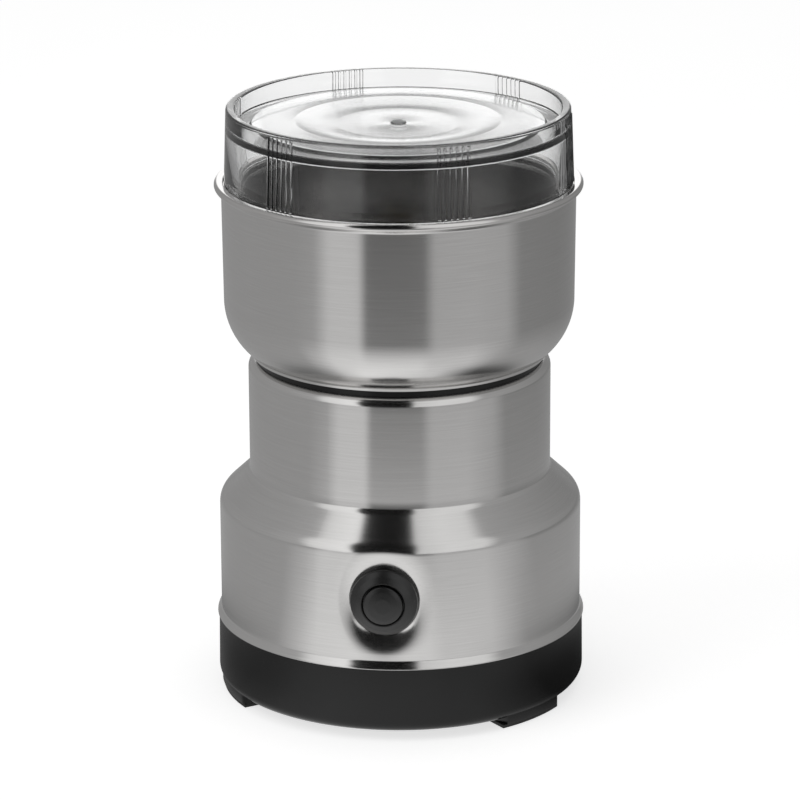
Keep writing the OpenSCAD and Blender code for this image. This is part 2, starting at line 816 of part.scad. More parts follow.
// A round wire wound along +Z. The wire's ends are cut square.
module coil_spring(mean_r, wire_r, length, turns, steps = 8, sides = 6) {
    rings = turns * steps;
    rise = (length - 2 * wire_r) / rings;
    points = [for (i = [0:rings], j = [0:sides - 1])
        let (a = 360 * i / steps, b = 360 * j / sides, r = mean_r + wire_r * cos(b))
            [r * cos(a), r * sin(a), wire_r + rise * i + wire_r * sin(b)]];
    faces = concat(
        [[for (j = [0:sides - 1]) j]],
        [for (i = [0:rings - 1], j = [0:sides - 1]) let (k = (j + 1) % sides)
            [i * sides + j, (i + 1) * sides + j, (i + 1) * sides + k]],
        [for (i = [0:rings - 1], j = [0:sides - 1]) let (k = (j + 1) % sides)
            [i * sides + j, (i + 1) * sides + k, i * sides + k]],
        [[for (j = [sides - 1:-1:0]) rings * sides + j]]);
    polyhedron(points = points, faces = faces);
}

module brush_springs() {
    color(bare_steel) for (side = [90, 270])
        rotate([0, 0, motor_turn + side]) translate([0, -brush_out - 0.05, brush_z]) rotate([90, 0, 0])
            coil_spring(brush_spring_r, brush_wire_r, holder_out - holder_cap - brush_out - 0.1, 4);
}

module switch_bezel() {
    color(black) on_switch_axis() rotate_extrude() polygon([
        [barrel_r, dish_y], [bezel_r, dish_y], [bezel_r, dish_y + bezel_foot], [bezel_top_r, dish_y + bezel_side],
        [bezel_face_r, dish_y + bezel_side + bezel_edge], [mouth_r + 0.4, mouth_y], [mouth_r, mouth_y - 0.4],
        [mouth_r, mouth_y - lip_t], [cavity_r, mouth_y - lip_t], [cavity_r, wall_y],
        [stem_r + slide_fit, wall_y], [stem_r + slide_fit, wall_y - wall_t], [cavity_r, wall_y - wall_t],
        [cavity_r, barrel_end], [barrel_r, barrel_end]]);
}

module switch_button() {
    color(black) on_switch_axis() rotate_extrude() polygon([
        [0, contact_y], [stem_r, contact_y], [stem_r, collar_y - collar_t],
        [collar_r, collar_y - collar_t], [collar_r, collar_y], [button_r, collar_y],
        [button_r, button_y - 0.6], [button_r - 0.6, button_y], [0, button_y - 0.15]]);
}

module switch_spring() {
    color(bare_steel) on_switch_axis() translate([0, 0, wall_y + 0.05])
        coil_spring(spring_r, spring_wire_r, collar_y - collar_t - wall_y - 0.1, 5);
}

module switch_contact() {
    color(copper) on_switch_axis() disc(contact_r, contact_y - contact_t, contact_y);
}

module switch_terminals() {
    color(brass) on_switch_axis() {
        for (x = [-pin_x, pin_x]) translate([x, 0, 0]) {
            disc(pin_r, barrel_end + closed_end - eps, pin_top);
            translate([-tab_t / 2, -tab_w / 2, pin_end])
                cube([tab_t, tab_w, barrel_end - pin_end + closed_end + 0.2]);
        }
        difference() {
            disc(cavity_r - seat_fit, barrel_end, barrel_end + closed_end);
            disc(0.8, barrel_end - 1, barrel_end + closed_end + 1);
        }
    }
}

module switch_nut() {
    color(black) on_switch_axis() difference() {
        translate([0, 0, dish_y - sheet - switch_nut_h])
            cylinder(r = switch_nut_r, h = switch_nut_h, $fn = 6);
        disc(barrel_r + seat_fit, dish_y - sheet - switch_nut_h - 1, dish_y + 1);
    }
}

module foot_ring(low, high, outer, grow) {
    for (i = [0:feet - 1])
        rotate([0, 0, foot_turn + i * 360 / feet - 90 - foot_angle / 2 - grow])
            rotate_extrude(angle = foot_angle + 2 * grow)
                translate([foot_in, low]) square([outer - foot_in, high - low]);
}

module base() {
    color(black) difference() {
        union() {
            difference() {
                rotate_extrude() polygon(concat(
                    [[0, foot_h]],
                    arc(base_r - base_edge, foot_h + base_edge, base_edge, -90, 0, 12),
                    [[base_r - base_draft, base_top], [spigot_r, base_top], [spigot_r, spigot_top - 0.5],
                        [spigot_r - 0.5, spigot_top], [spigot_r - spigot_wall, spigot_top],
                        [spigot_r - spigot_wall, base_top], [base_r - base_wall - 0.2, base_top - 2],
                        [base_r - base_wall, foot_h + base_edge + 1],
                        [base_r - base_wall - 2, base_floor], [0, base_floor]]));
                for (i = [0:vents - 1])
                    rotate([0, 0, (i + 0.5) * 360 / vents]) {
                        translate([-vent_w / 2, -vent_out, foot_h - 1])
                            cube([vent_w, vent_out - vent_in, base_wall + 2]);
                        for (r = [vent_in, vent_out])
                            translate([0, -r, foot_h - 1])
                                cylinder(r = vent_w / 2, h = base_wall + 2, $fn = 24);
                    }
            }
            foot_ring(pad_t, base_floor - 0.5, foot_out, 0);
            for (i = [0:posts - 1])
                around(post_turn + i * 360 / posts, post_pcd_r) disc(boss_out_r, foot_h, post_low);
            for (x = [-clamp_x, clamp_x])
                translate([x, clamp_y, 0]) disc(clamp_boss_r, base_floor - eps, clamp_low);
            // The saddle between the bosses, on which the clamp holds the lead
            translate([-clamp_x, clamp_y - saddle_t / 2, base_floor - eps])
                cube([2 * clamp_x, saddle_t, cord_z - cord_hole_r + saddle_h - base_floor]);
        }
        for (i = [0:posts - 1])
            around(post_turn + i * 360 / posts, post_pcd_r) {
                disc(counterbore_r, foot_h - 1, counterbore_top);
                disc(base_screw_r + 0.2, foot_h, post_low + 1);
            }
        for (x = [-clamp_x, clamp_x])
            translate([x, clamp_y, 0])
                disc(clamp_screw_r + seat_fit, clamp_low + clamp_t - clamp_screw_l - 0.5, clamp_low + 1);
        for (i = [0:feet - 1])
            around(foot_turn + i * 360 / feet, (foot_in + foot_out) / 2)
                disc(foot_stud_r + seat_fit, pad_t - 1, base_floor - 0.6);
        translate([0, 0, cord_z]) rotate([-90, 0, 0]) {
            disc(cord_hole_r, clamp_y - saddle_t, clamp_y + saddle_t);
            disc(bushing_r + seat_fit, bushing_in - 1, base_r + 9);
            disc(bushing_flange_r + slide_fit, bushing_seat_y, base_r + 9);
            disc(bushing_r + bushing_lip_w + slide_fit, bushing_in - 1, bushing_lip_y);
        }
    }
}

module rubber_feet() {
    color(rubber) {
        foot_ring(0, pad_t, foot_out - 0.4, -0.5);
        for (i = [0:feet - 1])
            around(foot_turn + i * 360 / feet, (foot_in + foot_out) / 2)
                disc(foot_stud_r, pad_t - 0.2, base_floor - 1);
    }
}

module base_screws() {
    color(bare_steel) for (i = [0:posts - 1])
        around(post_turn + i * 360 / posts, post_pcd_r) {
            disc(base_screw_r, screw_head_z + base_head_h - eps, screw_head_z + base_screw_l);
            disc(base_head_r, screw_head_z, screw_head_z + base_head_h);
        }
}

module cord_bushing() {
    color(rubber) translate([0, 0, cord_z]) rotate([-90, 0, 0]) difference() {
        union() {
            disc(bushing_r, bushing_in, bushing_out);
            disc(bushing_flange_r, bushing_seat_y + seat_fit, bushing_out);
            disc(bushing_r + bushing_lip_w, bushing_in, bushing_lip_y - seat_fit);
        }
        disc(cord_hole_r, bushing_in - 1, bushing_out + 1);
    }
}

module cord_clamp() {
    color(black) difference() {
        union() {
            translate([-clamp_x, clamp_y - clamp_boss_r, clamp_low])
                cube([2 * clamp_x, 2 * clamp_boss_r, clamp_t]);
            for (x = [-clamp_x, clamp_x])
                translate([x, clamp_y, 0]) disc(clamp_boss_r, clamp_low, clamp_low + clamp_t);
        }
        for (x = [-clamp_x, clamp_x])
            translate([x, clamp_y, 0])
                disc(clamp_screw_r + seat_fit, clamp_low - 1, clamp_low + clamp_t + 1);
    }
}

module clamp_screws() {
    color(bare_steel) for (x = [-clamp_x, clamp_x])
        translate([x, clamp_y, 0]) {
            disc(clamp_screw_r, clamp_low + clamp_t - clamp_screw_l, clamp_low + clamp_t + eps);
            disc(clamp_screw_r * 1.8, clamp_low + clamp_t, clamp_low + clamp_t + clamp_head_h);
        }
}

lid();
grinding_bowl();
bowl_shell();
bowl_cushion();
bowl_nut();
shaft_seal();
blade();
blade_hub();
blade_nut();
motor_shaft();
armature_core();
armature_winding();
commutator();
upper_bearing();
lower_bearing();
upper_bracket();
lower_bracket();
stator_core();
field_coils();
motor_screws();
brush_holders();
carbon_brushes();
brush_springs();
motor_carrier();
housing();
switch_bezel();
switch_button();
switch_spring();
switch_contact();
switch_terminals();
switch_nut();
base();
rubber_feet();
base_screws();
cord_bushing();
cord_clamp();
clamp_screws();
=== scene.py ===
# %% [markdown]
# # An electric spice grinder
#
# The part comes from OpenSCAD as a frame of exact solids that move on their joints. This script
# gives the frame its looks. Large pressed and moulded pieces are built again as smooth meshes on
# the same sizes, and the small solids only get better finishes.
#
# Everything is in metres, the shaft is the Z axis, and the push button faces -Y. Sizes are
# written in millimetres, as on a drawing, and MM turns them into metres.

# %% Load the frame
from math import acos, cos, degrees, dist, pi, radians, sin, sqrt, tan

import bmesh
import bpy
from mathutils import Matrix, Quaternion, Vector


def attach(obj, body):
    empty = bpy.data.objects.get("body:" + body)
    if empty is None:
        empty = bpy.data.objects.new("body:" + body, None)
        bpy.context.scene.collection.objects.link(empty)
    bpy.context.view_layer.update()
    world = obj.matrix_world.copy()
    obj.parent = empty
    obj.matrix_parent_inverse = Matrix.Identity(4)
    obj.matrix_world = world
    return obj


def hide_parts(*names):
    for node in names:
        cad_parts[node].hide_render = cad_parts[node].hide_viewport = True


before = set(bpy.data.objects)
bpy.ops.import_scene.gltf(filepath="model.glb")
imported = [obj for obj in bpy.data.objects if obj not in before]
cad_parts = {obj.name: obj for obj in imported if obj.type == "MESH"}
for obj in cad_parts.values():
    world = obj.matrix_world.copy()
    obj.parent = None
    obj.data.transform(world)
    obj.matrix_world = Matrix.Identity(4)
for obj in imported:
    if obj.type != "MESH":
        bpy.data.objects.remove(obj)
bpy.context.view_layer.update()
MM = 0.001


def placed(name, data):
    """A new object in the scene, at the origin."""
    made = bpy.data.objects.new(name, data)
    bpy.context.scene.collection.objects.link(made)
    return made


def new_mesh(name, verts, faces):
    mesh = bpy.data.meshes.new(name)
    mesh.from_pydata(verts, [], faces)
    return mesh


# %% [markdown]
# ## The camera
#
# The photograph was taken with a long lens from a little above. The outline gives the view: 1.2 m
# away, 17.2 degrees above level and a few degrees to the right of the button.

# %% Camera
CAMERA_AWAY, CAMERA_AIM = 1.2, Vector((0, 0, 85 * MM))
CAMERA_TURN, CAMERA_RISE, CAMERA_ROLL = radians(5.3), radians(17.2), radians(-0.28)
SENSOR_W, LENS, SHIFT = 36, 190.1, (0.0004, -0.00675)

towards_camera = Vector((
    sin(CAMERA_TURN) * cos(CAMERA_RISE),
    -cos(CAMERA_TURN) * cos(CAMERA_RISE),
    sin(CAMERA_RISE),
))
camera = placed("camera", bpy.data.cameras.new("camera"))
camera.data.sensor_width, camera.data.lens = SENSOR_W, LENS
camera.data.shift_x, camera.data.shift_y = SHIFT
camera.location = CAMERA_AIM + towards_camera * CAMERA_AWAY
camera.rotation_mode = "QUATERNION"
level_view = (-towards_camera).to_track_quat("-Z", "Y")
camera.rotation_quaternion = level_view @ Quaternion((0, 0, 1), CAMERA_ROLL)
bpy.context.scene.camera = camera
bpy.context.scene.view_settings.view_transform = "Standard"
print("camera at", [round(v, 3) for v in camera.location])

# %% [markdown]
# ## A small kit for nodes
#
# Shaders and Geometry Nodes are both graphs: add a node, set or link its inputs, read an output.
# One helper does that for both. What a node puts out can be added or multiplied like a number,
# and each sign adds a Math node, so that a recipe reads as a list of formulas.

# %% Numbers that live in a graph
class Value:
    """What a node puts out. Arithmetic on it adds Math nodes to its graph."""

    def __init__(self, graph, socket):
        self.graph, self.socket = graph, socket

    def math(self, operation, *others):
        return self.graph.math(operation, self, *others)

    def __neg__(self):
        return self * -1.0


for sign, operation in (("add", "ADD"), ("sub", "SUBTRACT"), ("mul", "MULTIPLY"), ("truediv", "DIVIDE")):
    setattr(Value, f"__{sign}__", lambda self, other, name=operation: self.graph.math(name, self, other))
    setattr(Value, f"__r{sign}__", lambda self, other, name=operation: self.graph.math(name, other, self))


def distance(a, b):
    return (a * a + b * b).math("SQRT")


# %% A helper for node graphs
class Graph:
    """Adds nodes to a tree. An input is a number, a vector, a socket or a Value."""

    def __init__(self, tree):
        self.tree = tree

    def put(self, socket, value):
        value = value.socket if isinstance(value, Value) else value
        if isinstance(value, bpy.types.NodeSocket):
            self.tree.links.new(value, socket)
        else:
            socket.default_value = value

    def add(self, kind, inputs=None, output=0, **settings):
        """Adds a node and returns one of its outputs."""
        node = self.tree.nodes.new(kind)
        for name, value in settings.items():
            setattr(node, name, value)
        for key, value in (inputs or {}).items():
            self.put(node.inputs[key], value)
        return Value(self, node.outputs[output])

    def math(self, operation, *values):
        return self.add("ShaderNodeMath", dict(enumerate(values)), operation=operation)

    def range(self, value, low, high, to_low, to_high, smooth=False):
        return self.add("ShaderNodeMapRange", {0: value, 1: low, 2: high, 3: to_low, 4: to_high},
                        interpolation_type="SMOOTHSTEP" if smooth else "LINEAR")

    def parts(self, vector):
        node = self.add("ShaderNodeSeparateXYZ", {0: vector}).socket.node
        return [Value(self, socket) for socket in node.outputs]

    def vector(self, *parts):
        return self.add("ShaderNodeCombineXYZ", dict(enumerate(parts)))

    def colour_between(self, factor, dark, light):
        return self.add("ShaderNodeMix", {0: factor, 6: (*dark, 1), 7: (*light, 1)}, 2, data_type="RGBA")

    def results(self, **values):
        """Links what the group puts out and returns its tree."""
        output = self.tree.nodes.new("NodeGroupOutput")
        for name, value in values.items():
            self.put(output.inputs[name], value)
        return self.tree


FLOAT, GEOMETRY, FINISH = "NodeSocketFloat", "NodeSocketGeometry", "NodeSocketMaterial"


def new_group(name, kind, inputs, outputs):
    """A node group: its graph and its inputs by name. Inputs are (name, socket type, default)."""
    tree = bpy.data.node_groups.new(name, kind)
    for label, socket, default in inputs:
        made = tree.interface.new_socket(label, in_out="INPUT", socket_type=socket)
        if default is not None:
            made.default_value = default
    for label, socket in outputs:
        tree.interface.new_socket(label, in_out="OUTPUT", socket_type=socket)
    graph = Graph(tree)
    given = tree.nodes.new("NodeGroupInput").outputs
    return graph, {label: Value(graph, given[label]) for label, _, _ in inputs}


# %% [markdown]
# ## Finishes
#
# Four effects come back on many pieces, so each is a shader group that is built once:
#
# - turning lines: the fine scratches that a brushing belt leaves round a turned body
# - grain: the slight texture of a mould, of rubber or of blasted metal
# - handling: soft patches where fingers changed the gloss
# - layers: straight lines, as on stacked sheet iron or on wire laid side by side
#
# Each gives a shade between 0 and 1, and all but the handling give a height for a bump. The
# material then decides what they do to its colour, its roughness and its relief.

# %% Shader groups
def effect_group(name, *outputs, **sizes):
    return new_group(name, "ShaderNodeTree", [(spoken(key), FLOAT, size) for key, size in sizes.items()],
                     [(label, FLOAT) for label in outputs])


def spoken(key):
    """The label of a socket, from a Python name."""
    return key.replace("_", " ").capitalize()


def object_point(graph):
    return graph.add("ShaderNodeTexCoord", output="Object")


def object_axes(graph):
    return graph.parts(object_point(graph))


def patches(graph, size, **detail):
    """Noise whose patches are about as big as size."""
    scaled = graph.add("ShaderNodeVectorMath", {0: object_point(graph), "Scale": 1.0 / size},
                       operation="SCALE")
    return graph.add("ShaderNodeTexNoise", {"Vector": scaled, "Scale": 1, **detail})


def make_turning_lines():
    graph, given = effect_group("turning lines", "Shade", "Height", line_width=0.0002, line_length=0.012)
    x, y, z = object_axes(graph)
    width, length = given["Line width"], given["Line length"]
    noise = graph.add("ShaderNodeTexNoise", noise_dimensions="4D", inputs={
        "Vector": graph.vector(x / length, y / length, z / width), "W": distance(x, y) / width,
        "Scale": 1, "Detail": 3,
    })
    shade = graph.range(noise, 0.3, 0.7, 0, 1)
    return graph.results(Shade=shade, Height=shade)


def make_grain():
    graph, given = effect_group("grain", "Shade", "Height", size=0.0004)
    noise = patches(graph, given["Size"], Detail=2)
    return graph.results(Shade=graph.range(noise, 0.35, 0.65, 0, 1), Height=noise)


def make_handling():
    graph, given = effect_group("handling", "Shade", size=0.02)
    noise = patches(graph, given["Size"], Detail=4, Distortion=0.6)
    return graph.results(Shade=graph.range(noise, 0.42, 0.66, 0, 1, smooth=True))


def make_layers():
    graph, given = effect_group("layers", "Shade", "Height", pitch=0.0005)
    height = object_axes(graph)[2]
    wave = graph.range((height / given["Pitch"] * (2 * pi)).math("SINE"), -1, 1, 0, 1)
    return graph.results(Shade=wave, Height=wave.math("SQRT"))


EFFECTS = {
    "lines": make_turning_lines(), "grain": make_grain(),
    "handling": make_handling(), "layers": make_layers(),
}
print("shader groups:", ", ".join(tree.name for tree in EFFECTS.values()))


# %% A recipe that all materials share
def new_finish(name, roughness, **fixed):
    """A material whose fixed values sit on the shader itself. Returns (material, graph, shader)."""
    material = bpy.data.materials.new(name)
    material.use_nodes = True
    shader = material.node_tree.nodes["Principled BSDF"]
    shader.inputs["Roughness"].default_value = roughness
    for key, value in fixed.items():
        shader.inputs[key.replace("_", " ")].default_value = value
    return material, Graph(material.node_tree), shader


def effect(graph, name, **sizes):
    """Places a shader group with its own sizes in millimetres. Returns its outputs by name."""
    inputs = {spoken(key): size * MM for key, size in sizes.items()}
    node = graph.add("ShaderNodeGroup", inputs, node_tree=EFFECTS[name]).socket.node
    return {socket.name: Value(graph, socket) for socket in node.outputs}


def surface(graph, shader, colour, gloss, height, depth):
    """Links colour, roughness and relief. The relief is depth millimetres deep."""
    bump = graph.add("ShaderNodeBump", {"Height": height, "Distance": depth * MM, "Strength": 1.0})
    for name, value in (("Base Color", colour), ("Roughness", gloss), ("Normal", bump)):
        graph.put(shader.inputs[name], value)


# %% [markdown]
# ### Brushed steel
#
# A belt that runs round the body leaves lines along its circles. They spread the light up and
# down and leave it sharp round the body, which gives the photograph's upright bands. The shader
# does this with anisotropy: its tangent comes from the piece's own UV map, whose first direction
# runs round the axis, and a quarter turn spreads the light across it. The bowl is polished on its
# rim and rougher inside, and below the rim its colour is darkened as painted shade of its hollow,
# so its steel changes with height.

# %% Steel
# The second and third numbers set where and how far the bowl's colour is darkened below its rim, which is
# painted shade of its hollow; the fourth sets how much smoother its rim is
LINES_SHARE, POLISH_AND_SHADE_RUN, INSIDE_PAINTED_SHADE, SATIN_ROUGH = 0.7, 2, 0.7, 0.4


def steel(name, dark, light, smooth, rough, stretch, width=0.22, length=14, depth=0.004,
          polished_unshaded_above=None):
    material, graph, shader = new_finish(name, rough, Metallic=1.0)
    lines = effect(graph, "lines", line_width=width, line_length=length)
    shade, hands = lines["Shade"], effect(graph, "handling", size=26)["Shade"]
    gloss = graph.range(shade * LINES_SHARE + hands * (1 - LINES_SHARE), 0, 1, smooth, rough)
    # Below the given height the steel is rougher and its colour is darkened: painted shade inside the bowl
    if polished_unshaded_above:
        height = object_axes(graph)[2]
        satin_and_painted_shade = graph.range(height, (polished_unshaded_above - POLISH_AND_SHADE_RUN) * MM, polished_unshaded_above * MM, 1, 0,
                            smooth=True)
        shade = (shade * 0.25 + 0.75) * (1.0 - satin_and_painted_shade * INSIDE_PAINTED_SHADE)
        gloss = gloss * (satin_and_painted_shade * SATIN_ROUGH + (1 - SATIN_ROUGH))
    surface(graph, shader, graph.colour_between(shade, dark, light), gloss, lines["Height"], depth)
    if stretch:
        shader.inputs["Anisotropic"].default_value = stretch
        shader.inputs["Anisotropic Rotation"].default_value = 0.25
        tangent = graph.add("ShaderNodeTangent", direction_type="UV_MAP", uv_map="turn")
        graph.put(shader.inputs["Tangent"], tangent)
    return material


BODY_STEEL = steel("brushed steel body", (0.595, 0.588, 0.580), (0.635, 0.628, 0.620), 0.13, 0.17, 0.55,
                   depth=0.0004)
# Inside the bowl the colour falls towards its dark value: painted shade of the hollow
BOWL_STEEL = steel("pressed bowl steel", (0.26, 0.255, 0.25), (0.66, 0.65, 0.64), 0.18, 0.25, 0.4,
                   depth=0.0005, polished_unshaded_above=146)
BRIGHT_STEEL = steel("ground steel", (0.60, 0.60, 0.60), (0.68, 0.68, 0.68), 0.18, 0.26, 0, width=0.3,
                     length=3)
ZINC_STEEL = steel("zinc plated steel", (0.50, 0.51, 0.53), (0.60, 0.61, 0.63), 0.32, 0.42, 0,
                   width=0.5, length=2)
print("steels:", *(made.name for made in (BODY_STEEL, BOWL_STEEL, BRIGHT_STEEL, ZINC_STEEL)))


# %% Plastics and rubber
def moulded(name, dark, light, smooth, rough, grain=0.35, depth=0.01, sheen=0.5):
    material, graph, shader = new_finish(name, rough, Specular_IOR_Level=sheen)
    grains = effect(graph, "grain", size=grain)
    mixed = grains["Shade"] * 0.5 + effect(graph, "handling", size=18)["Shade"] * 0.5
    surface(graph, shader, graph.colour_between(grains["Shade"], dark, light),
            graph.range(mixed, 0, 1, smooth, rough), grains["Height"], depth)
    return material


BLACK_PLASTIC = moulded("black base plastic", (0.004,) * 3, (0.006,) * 3, 0.20, 0.27, depth=0.003,
                        sheen=0.31)
SWITCH_PLASTIC = moulded("black switch plastic", (0.008,) * 3, (0.012,) * 3, 0.30, 0.38, 0.3, depth=0.006)
RUBBER = moulded("black rubber", (0.012,) * 3, (0.020, 0.020, 0.019), 0.70, 0.85, 0.5, 0.03)
CARBON = moulded("pressed carbon", (0.020, 0.020, 0.021), (0.045, 0.045, 0.047), 0.45, 0.60, 0.25, 0.02)

# %% [markdown]
# ### Clear plastic
#
# The lid is moulded in a clear plastic that bends light. It is glass to the shader, with the
# plastic's own index, and a breath of grey that shows where the wall is deep. Its panel is a
# little hazy and the mark of the gate is frosted. Rays that only ask whether a light is hidden
# pass straight through, so that the bowl under the lid isn't black.

# %% Clear plastic
GATE_MARK, HAZY_PANEL = (1.9, 2.2), (37, 41)


def clear_plastic():
    material, graph, shader = new_finish("clear plastic", 0.03, IOR=1.53, Transmission_Weight=1.0,
                                         Metallic=0.0)
    hands = effect(graph, "handling", size=30)["Shade"]
    x, y, _ = object_axes(graph)
    off_axis = distance(x, y)
    frosted = graph.range(off_axis, GATE_MARK[0] * MM, GATE_MARK[1] * MM, 0.5, 0)
    hazy = graph.range(off_axis, HAZY_PANEL[0] * MM, HAZY_PANEL[1] * MM, 0.11, 0.01, smooth=True)
    graph.put(shader.inputs["Base Color"],
              graph.colour_between(hands, (0.925, 0.928, 0.928), (0.945, 0.948, 0.948)))
    graph.put(shader.inputs["Roughness"], hazy + hands * 0.02 + frosted)
    show(graph, graph.add("ShaderNodeLightPath", output="Is Shadow Ray"), shader.outputs[0],
         graph.add("ShaderNodeBsdfTransparent", {"Color": (0.88, 0.89, 0.89, 1)}))
    return material


def show(graph, factor, first, second):
    """A mix of two shaders as the material's surface."""
    mix = graph.add("ShaderNodeMixShader", {0: factor, 1: first, 2: second})
    graph.put(graph.tree.nodes["Material Output"].inputs["Surface"], mix)


CLEAR = clear_plastic()


# %% Metals of the motor
def motor_metal(name, dark, light, smooth, rough, pitch, depth):
    material, graph, shader = new_finish(name, rough, Metallic=1.0)
    layers = effect(graph, "layers", pitch=pitch)
    grains = effect(graph, "grain", size=0.8)["Shade"]
    mixed = layers["Shade"] * graph.range(grains, 0, 1, 0.7, 1)
    surface(graph, shader, graph.colour_between(mixed, dark, light),
            graph.range(mixed, 0, 1, rough, smooth), layers["Height"], depth)
    return material


COPPER = motor_metal("varnished copper wire", (0.35, 0.10, 0.03), (0.80, 0.36, 0.16), 0.25, 0.40,
                     0.45, 0.12)
BRASS = motor_metal("sintered bronze", (0.58, 0.40, 0.18), (0.80, 0.60, 0.30), 0.32, 0.45, 1.2, 0.01)
IRON = motor_metal("stacked sheet iron", (0.05, 0.05, 0.055), (0.24, 0.24, 0.25), 0.40, 0.55, 0.5, 0.05)

NODE_FINISH = (
    (RUBBER, "bowl_cushion", "shaft_seal", "rubber_feet"),
    (BRASS, "blade_hub", "upper_bearing", "lower_bearing", "switch_terminals"),
    (BRIGHT_STEEL, "motor_shaft"),
    (IRON, "armature_core", "stator_core"),
    (COPPER, "armature_winding", "commutator", "field_coils", "switch_contact"),
    (ZINC_STEEL, "upper_bracket", "lower_bracket", "motor_screws", "brush_springs", "switch_spring",
     "clamp_screws"),
    (BLACK_PLASTIC, "brush_holders", "motor_carrier", "cord_clamp"),
    (SWITCH_PLASTIC, "switch_nut"),
    (CARBON, "carbon_brushes"),
)
for material, *node_names in NODE_FINISH:
    for holder in [slot for name in node_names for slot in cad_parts[name].material_slots]:
        holder.material = material
print(sum(len(row) - 1 for row in NODE_FINISH), "solids keep their shape and get a finish")

# %% [markdown]
# ## Turned pieces
#
# Cup, bowl, housing, lid, bezel and base are round about an axis, so half their section gives all
# of the shape. One function rounds a section's corners, because no pressed or moulded edge is
# sharp, and another turns it into a mesh with the UV map "turn" that the brushed steel needs.

# %% Lines of a section
def shares(steps, first=0.0, last=1.0):
    """Even steps from first to last, with both ends."""
    return [first + (last - first) * i / steps for i in range(steps + 1)]


def arc(centre_r, centre_z, radius, first, last, steps):
    """Points along an arc of a section, angles in degrees."""
    angles = map(radians, shares(steps, first, last))
    return [(centre_r + radius * cos(a), centre_z + radius * sin(a)) for a in angles]


def straight(start, end, steps):
    """Points inside a straight run, without its ends."""
    return list(zip(shares(steps, start[0], end[0]), shares(steps, start[1], end[1])))[1:-1]


def rounded(corners, steps=5, closed=True):
    """A section whose corners (r, z, radius) are rounded. A corner without a radius stays sharp."""
    points = []
    count = len(corners)
    for i, corner in enumerate(corners):
        here = Vector(corner[:2])
        radius = corner[2] if len(corner) > 2 else 0
        if not radius or (not closed and i in (0, count - 1)):
            points.append(tuple(here))
            continue
        before, after = (Vector(corners[k % count][:2]) - here for k in (i - 1, i + 1))
        half = before.angle(after) / 2
        reach = min(radius / tan(half), before.length * 0.49, after.length * 0.49)
        centre = here + (before.normalized() + after.normalized()).normalized() * (reach / cos(half))
        start = here + before.normalized() * reach - centre
        turn = start.angle_signed(here + after.normalized() * reach - centre)
        for a in shares(steps, 0, -turn):
            points.append((
                centre.x + start.x * cos(a) - start.y * sin(a),
                centre.y + start.x * sin(a) + start.y * cos(a),
            ))
    return points


# %% Turning a section
def even_angles(count):
    return [2 * pi * i / count for i in range(count)]


def turned(name, section, angles=None, closed=True, weights=None):
    """Turns a section in millimetres round the Z axis. Angle 0 is -Y and angles grow towards +X."""
    angles = angles or even_angles(192)
    rows = len(section)
    area = sum(r * next_z - next_r * z
               for (r, z), (next_r, next_z) in zip(section, section[1:] + section[:1]))
    if closed and area < 0:
        section = section[::-1]
        weights = weights and weights[::-1]
    verts, index, kept = [], {}, []
    for i, a in enumerate(angles):
        for j, (r, z) in enumerate(section):
            key = (0 if r < 1e-6 else i, j)
            if key not in index:
                index[key] = len(verts)
                verts.append((r * MM * sin(a), -r * MM * cos(a), z * MM))
                kept.append(weights[j] if weights else 0.0)
            index[(i, j)] = index[key]
    length = [0.0]
    for j in range(rows):
        length.append(length[-1] + dist(section[j], section[(j + 1) % rows]))
    faces, corners = [], []
    for i in range(len(angles)):
        n = (i + 1) % len(angles)
        u0, u1 = angles[i] / (2 * pi), (angles[n] / (2 * pi) if n else 1.0)
        for j in range(rows if closed else rows - 1):
            k = (j + 1) % rows
            quad = [(index[(i, j)], (u0, length[j])), (index[(n, j)], (u1, length[j])),
                    (index[(n, k)], (u1, length[j + 1])), (index[(i, k)], (u0, length[j + 1]))]
            face = [c for t, c in enumerate(quad) if c[0] != quad[t - 1][0]]
            if len(face) > 2:
                faces.append([c[0] for c in face])
                corners.extend((c[1][0], c[1][1] / length[-1]) for c in face)
    mesh = new_mesh(name, verts, faces)
    turn = mesh.uv_layers.new(name="turn")
    turn.data.foreach_set("uv", [value for corner in corners for value in corner])
    if weights:
        mesh.attributes.new("grip", "FLOAT", "POINT").data.foreach_set("value", kept)
    return mesh


# %% From a mesh to a piece
def ring_mesh(name, rings, looped=False):
    """A skin over rings of points in millimetres. It is capped, or its last ring meets the first."""
    count = len(rings[0])
    faces = []
    for k in range(len(rings) if looped else len(rings) - 1):
        low, high = k * count, (k + 1) % len(rings) * count
        faces += [(low + i, low + (i + 1) % count, high + (i + 1) % count, high + i) for i in range(count)]
    if not looped:
        faces += [tuple(range(count))[::-1], tuple(range((len(rings) - 1) * count, len(rings) * count))]
    return new_mesh(name, [[v * MM for v in point] for ring in rings for point in ring], faces)


def joined(name, *meshes):
    """Several meshes as one, with every shell's faces outwards."""
    bm = bmesh.new()
    for mesh in meshes:
        bm.from_mesh(mesh)
    bmesh.ops.remove_doubles(bm, verts=bm.verts, dist=0.01 * MM)
    bmesh.ops.recalc_face_normals(bm, faces=bm.faces)
    mesh = bpy.data.meshes.new(name)
    bm.to_mesh(mesh)
    bm.free()
    return mesh


def moved(mesh, x, y):
    for vert in mesh.vertices:
        vert.co.x += x * MM
        vert.co.y += y * MM
    return mesh


def piece(name, mesh, material, body, slot, *nodes, sharp=35):
    """Makes a mesh a finished piece: its finish, its soft shading and its body; it hides the solids that it
    stands for.
    """
    mesh.materials.clear()
    mesh.materials.append(material)
    mesh.shade_smooth()
    mesh.set_sharp_from_angle(angle=radians(sharp))
    made = placed(name, mesh)
    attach(made, body)
    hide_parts(*nodes)
    print(name, "has", len(mesh.polygons), "faces")


